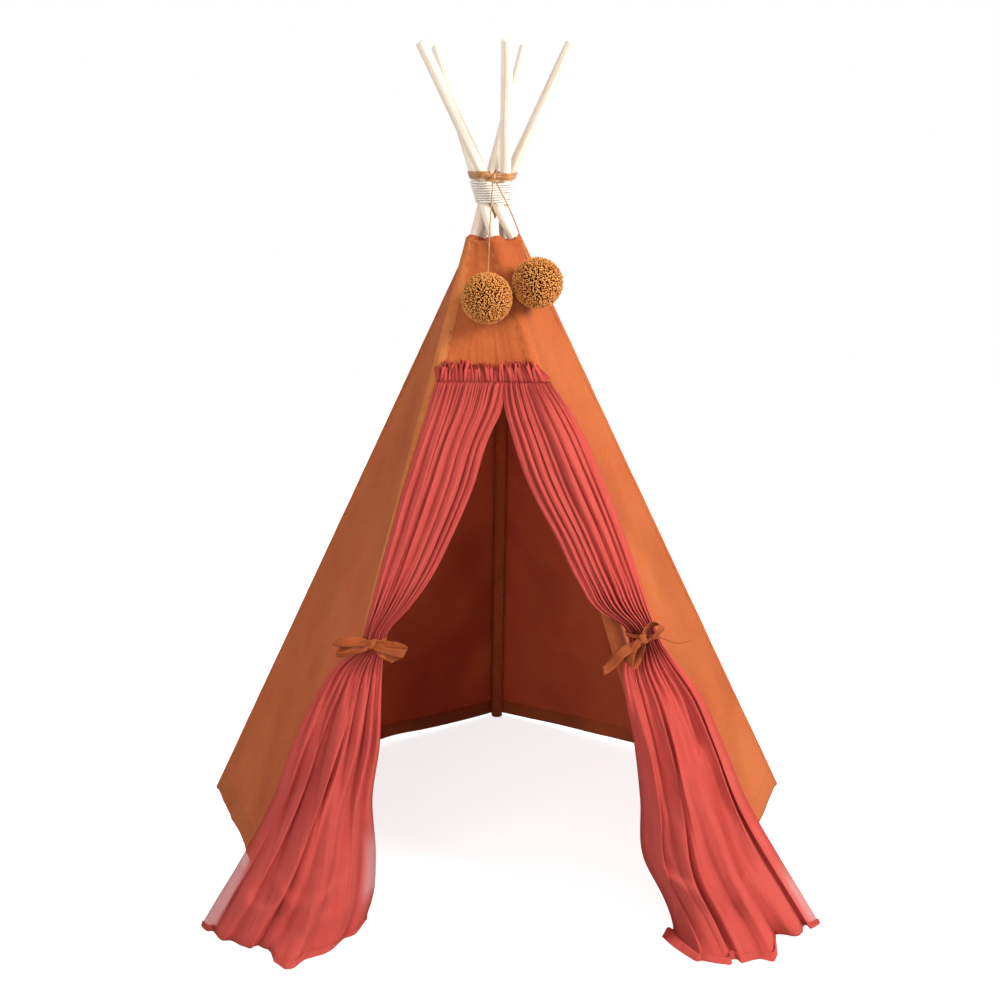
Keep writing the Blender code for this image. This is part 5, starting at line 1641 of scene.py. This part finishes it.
def ball(name, centre, radius, finish, rough):
    """A closed ball, rough by a share of its radius."""
    bm = bmesh.new()
    bmesh.ops.create_icosphere(bm, subdivisions=4, radius=radius)
    for vertex in bm.verts:
        vertex.co *= 1 + rough * noise.noise(vertex.co * 90)
        vertex.co += Vector(centre)
    return solid_piece(name, bm, finish)


def suede_cord(name, points):
    """A round suede cord: rings along its route, a little uneven."""
    points = np.array(points)
    ways = np.gradient(points, axis=0)
    side = unit(np.cross(ways[0], (0.3, 0.2, 1.0)))
    rings = []
    for index, (point, way) in enumerate(zip(points, ways)):
        way = unit(way)
        side = unit(side - way * (side @ way))
        other = np.cross(way, side)
        radius = CORD_RADIUS * (1 + 0.05 * math.sin(index * 1.7))
        for step in range(CORD_SIDES):
            angle = 2 * math.pi * step / CORD_SIDES
            rings.append(point + radius * (side * math.cos(angle) + other * math.sin(angle)))
    return new_piece(name, rings, tube_faces(len(points), CORD_SIDES), suede)


yarn = yarn_material()
cut_yarn = yarn_tree()
for seed, name in enumerate(("front", "corner"), 3):
    body = f"{name}_pompom"
    low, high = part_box(body)
    centre = np.array((low + high) / 2)
    core = ball(f"{name}_yarn_core", centre, YARN_CORE, yarn, 0.05)
    rooted = ball(f"{name}_cut_yarn", centre, YARN_ROOT, yarn, 0.0)
    ends = made_by(
        rooted, cut_yarn, Density=YARN_ENDS / (4 * math.pi * YARN_ROOT ** 2), Thickness=YARN_RADIUS,
        Length=YARN_LENGTH, Seed=seed, Finish=yarn,
    )
    start_way = unit(centre - knot_centre)
    start = knot_centre + start_way * (KNOT_RADIUS + CLEARANCE)
    seat = centre - start_way * (POMPOM_RADIUS + CLEARANCE)
    level = unit(start_way * (1, 1, 0))
    square = unit(level - start_way * (level @ start_way))
    route = [start + (seat - start) * way + square * CORD_BOW * bow for way, bow in CORD_ROUTE_SHARES]
    line = smooth_route([*route, centre], CORD_STEP)
    length = float(sum(np.linalg.norm(b - a) for a, b in zip(line, line[1:])))
    cord = suede_cord(f"{name}_suede_cord", line)
    for piece in (core, ends):
        # The share out to the tip, by which the yarn's material paints shade and light.
        away = [(vertex.co - Vector(centre)).length for vertex in piece.data.vertices]
        store_shares(piece, "tip", (np.array(away) - YARN_CORE) / (YARN_REACH - YARN_CORE))
    fitted(core, body)
    fitted(ends, body, body)
    fitted(cord, body, f"{body}_cord")

# Stitches: rust cotton thread in lock stitch, beside each pole, round the hems and along the top edge.
# The hem's row shows on both faces of the cloth.

STITCH_PITCH = 0.0042
STITCH_LENGTH = 0.0033
THREAD_RADIUS = 0.00038
THREAD_RUST = (0.34, 0.085, 0.028, 1)
STITCH_LIFT = THREAD_RADIUS * 0.5
TOP_STITCH_DROP = 0.009


def stitch_tree():
    """Short thread capsules a pitch apart along lines, each laid along its line."""
    tree, given, result = empty_tree(
        "lock_stitch", Pitch="Float", Length="Float", Thickness="Float", Finish="Material"
    )
    capsule = add_node(tree, "GeometryNodeMeshUVSphere", Segments=5, Rings=4, Radius=1.0).outputs[0]
    half = counted(tree, "MULTIPLY", given["Length"], 0.5)
    feeds = {0: given["Thickness"], 1: given["Thickness"], 2: half}
    size = add_node(tree, "ShaderNodeCombineXYZ", feeds).outputs[0]
    along = add_node(tree, "GeometryNodeInputTangent").outputs[0]
    turned = add_node(tree, "FunctionNodeAlignRotationToVector", {"Vector": along}, axis="Z").outputs[0]
    laid = set_on(tree, spaced_along(tree, given, "Pitch"), capsule, turned, size)
    return ended_tree(tree, given, result, laid)


def thread_material():
    """Spun cotton thread, with the shade of its fine twist."""
    made, tree, shader = new_material("rust_cotton_thread")
    place = add_node(tree, "ShaderNodeTexCoord").outputs["Object"]
    twist = noise_at(tree, place, 2500.0, 2.0)
    colour = mixed(tree, "MULTIPLY", 0.4, THREAD_RUST, ramp_of(tree, twist, (0.3, 0.6), (0.7, 1.0)))
    set_surface(tree, shader, colour, Roughness=0.7)
    raise_surface(tree, shader, twist, 0.0002)
    return made


stitches = stitch_tree()
thread = thread_material()


def stitching(name, lines):
    """One piece of stitches along lines of points."""
    piece = made_by(
        line_piece(name, lines), stitches, Pitch=STITCH_PITCH, Length=STITCH_LENGTH, Thickness=THREAD_RADIUS,
        Finish=thread,
    )
    piece.data.shade_smooth()
    return piece


for wall in walls:
    level = np.linspace(0.03, 0.97, 160)
    lines = [wall.surface(level, wall.top(level) - TOP_STITCH_DROP, STITCH_LIFT)]
    if wall.name != "front":
        hem_line = wall.bottom(level) + HEM_DEPTH - HEM_STITCH_INSET
        lines.append(wall.surface(level, hem_line, STITCH_LIFT))
        lines.append(wall.surface(level, hem_line, HEM_LIFT_IN - PANEL_WALL - STITCH_LIFT))
    piece = stitching(f"{wall.name}_stitching", lines)
    wall.gather(piece)
    fitted(piece)
for pole, edges in zip(poles, pocket_edges):
    fitted(stitching(f"{pole.name}_pocket_stitching", edges), pole.body)

# Studio: a pale floor that keeps the tent's shadow, a white surround, and soft light from the right.
# Floor and surround are white where the camera sees them, and light the tent no more for it.

FLOOR_HALF = 6.0
FLOOR_GREY = (0.50, 0.50, 0.50, 1)
FLOOR_GLOW = 0.80
WHITE = (1, 1, 1, 1)
SURROUND_TINT = (0.93, 0.96, 1.0, 1)
SURROUND_LIGHT = 0.75
KEY_PLACE = Vector((3.4, -1.9, 2.9))
KEY_SIZE = 1.6
KEY_WATTS = 262
FILL_PLACE = Vector((-1.6, -4.2, 2.6))
FILL_SIZE = 2.5
FILL_WATTS = 76
AIM = Vector((0, 0, 0.7))


def seen_directly(tree):
    """1 for what the camera sees, also mirrored or through a clear piece, and 0 for other light."""
    path = add_node(tree, "ShaderNodeLightPath").outputs
    seen = counted(tree, "MAXIMUM", path["Is Camera Ray"], path["Is Glossy Ray"])
    return counted(tree, "MAXIMUM", seen, path["Is Transmission Ray"])


floor_finish, tree, shader = new_material("pale_floor")
glow = counted(tree, "MULTIPLY", seen_directly(tree), FLOOR_GLOW)
set_surface(tree, shader, FLOOR_GREY, Roughness=0.9, Emission_Color=WHITE, Emission_Strength=glow)
corners = [(x * FLOOR_HALF, y * FLOOR_HALF, 0) for x, y in ((-1, -1), (1, -1), (1, 1), (-1, 1))]
floor = new_piece("studio_floor", corners, [(0, 1, 2, 3)], floor_finish)

world = bpy.data.worlds.new("studio")
bpy.context.scene.world = world
world.use_nodes = True
tree = world.node_tree
dim = add_node(tree, "ShaderNodeBackground", Color=SURROUND_TINT, Strength=SURROUND_LIGHT).outputs[0]
white = add_node(tree, "ShaderNodeBackground", Color=WHITE, Strength=1.0).outputs[0]
surround = blended(tree, seen_directly(tree), dim, white)
tree.links.new(surround, tree.nodes["World Output"].inputs["Surface"])


def soft_lamp(name, place, size, watts):
    """A square soft box that points at the tent's middle."""
    lamp = bpy.data.objects.new(name, bpy.data.lights.new(name, "AREA"))
    lamp.data.size = size
    lamp.data.energy = watts
    lamp.location = place
    lamp.rotation_euler = (AIM - place).to_track_quat("-Z", "Y").to_euler()
    bpy.context.scene.collection.objects.link(lamp)


soft_lamp("key_lamp", KEY_PLACE, KEY_SIZE, KEY_WATTS)
soft_lamp("fill_lamp", FILL_PLACE, FILL_SIZE, FILL_WATTS)

bpy.context.scene.view_settings.view_transform = "Standard"
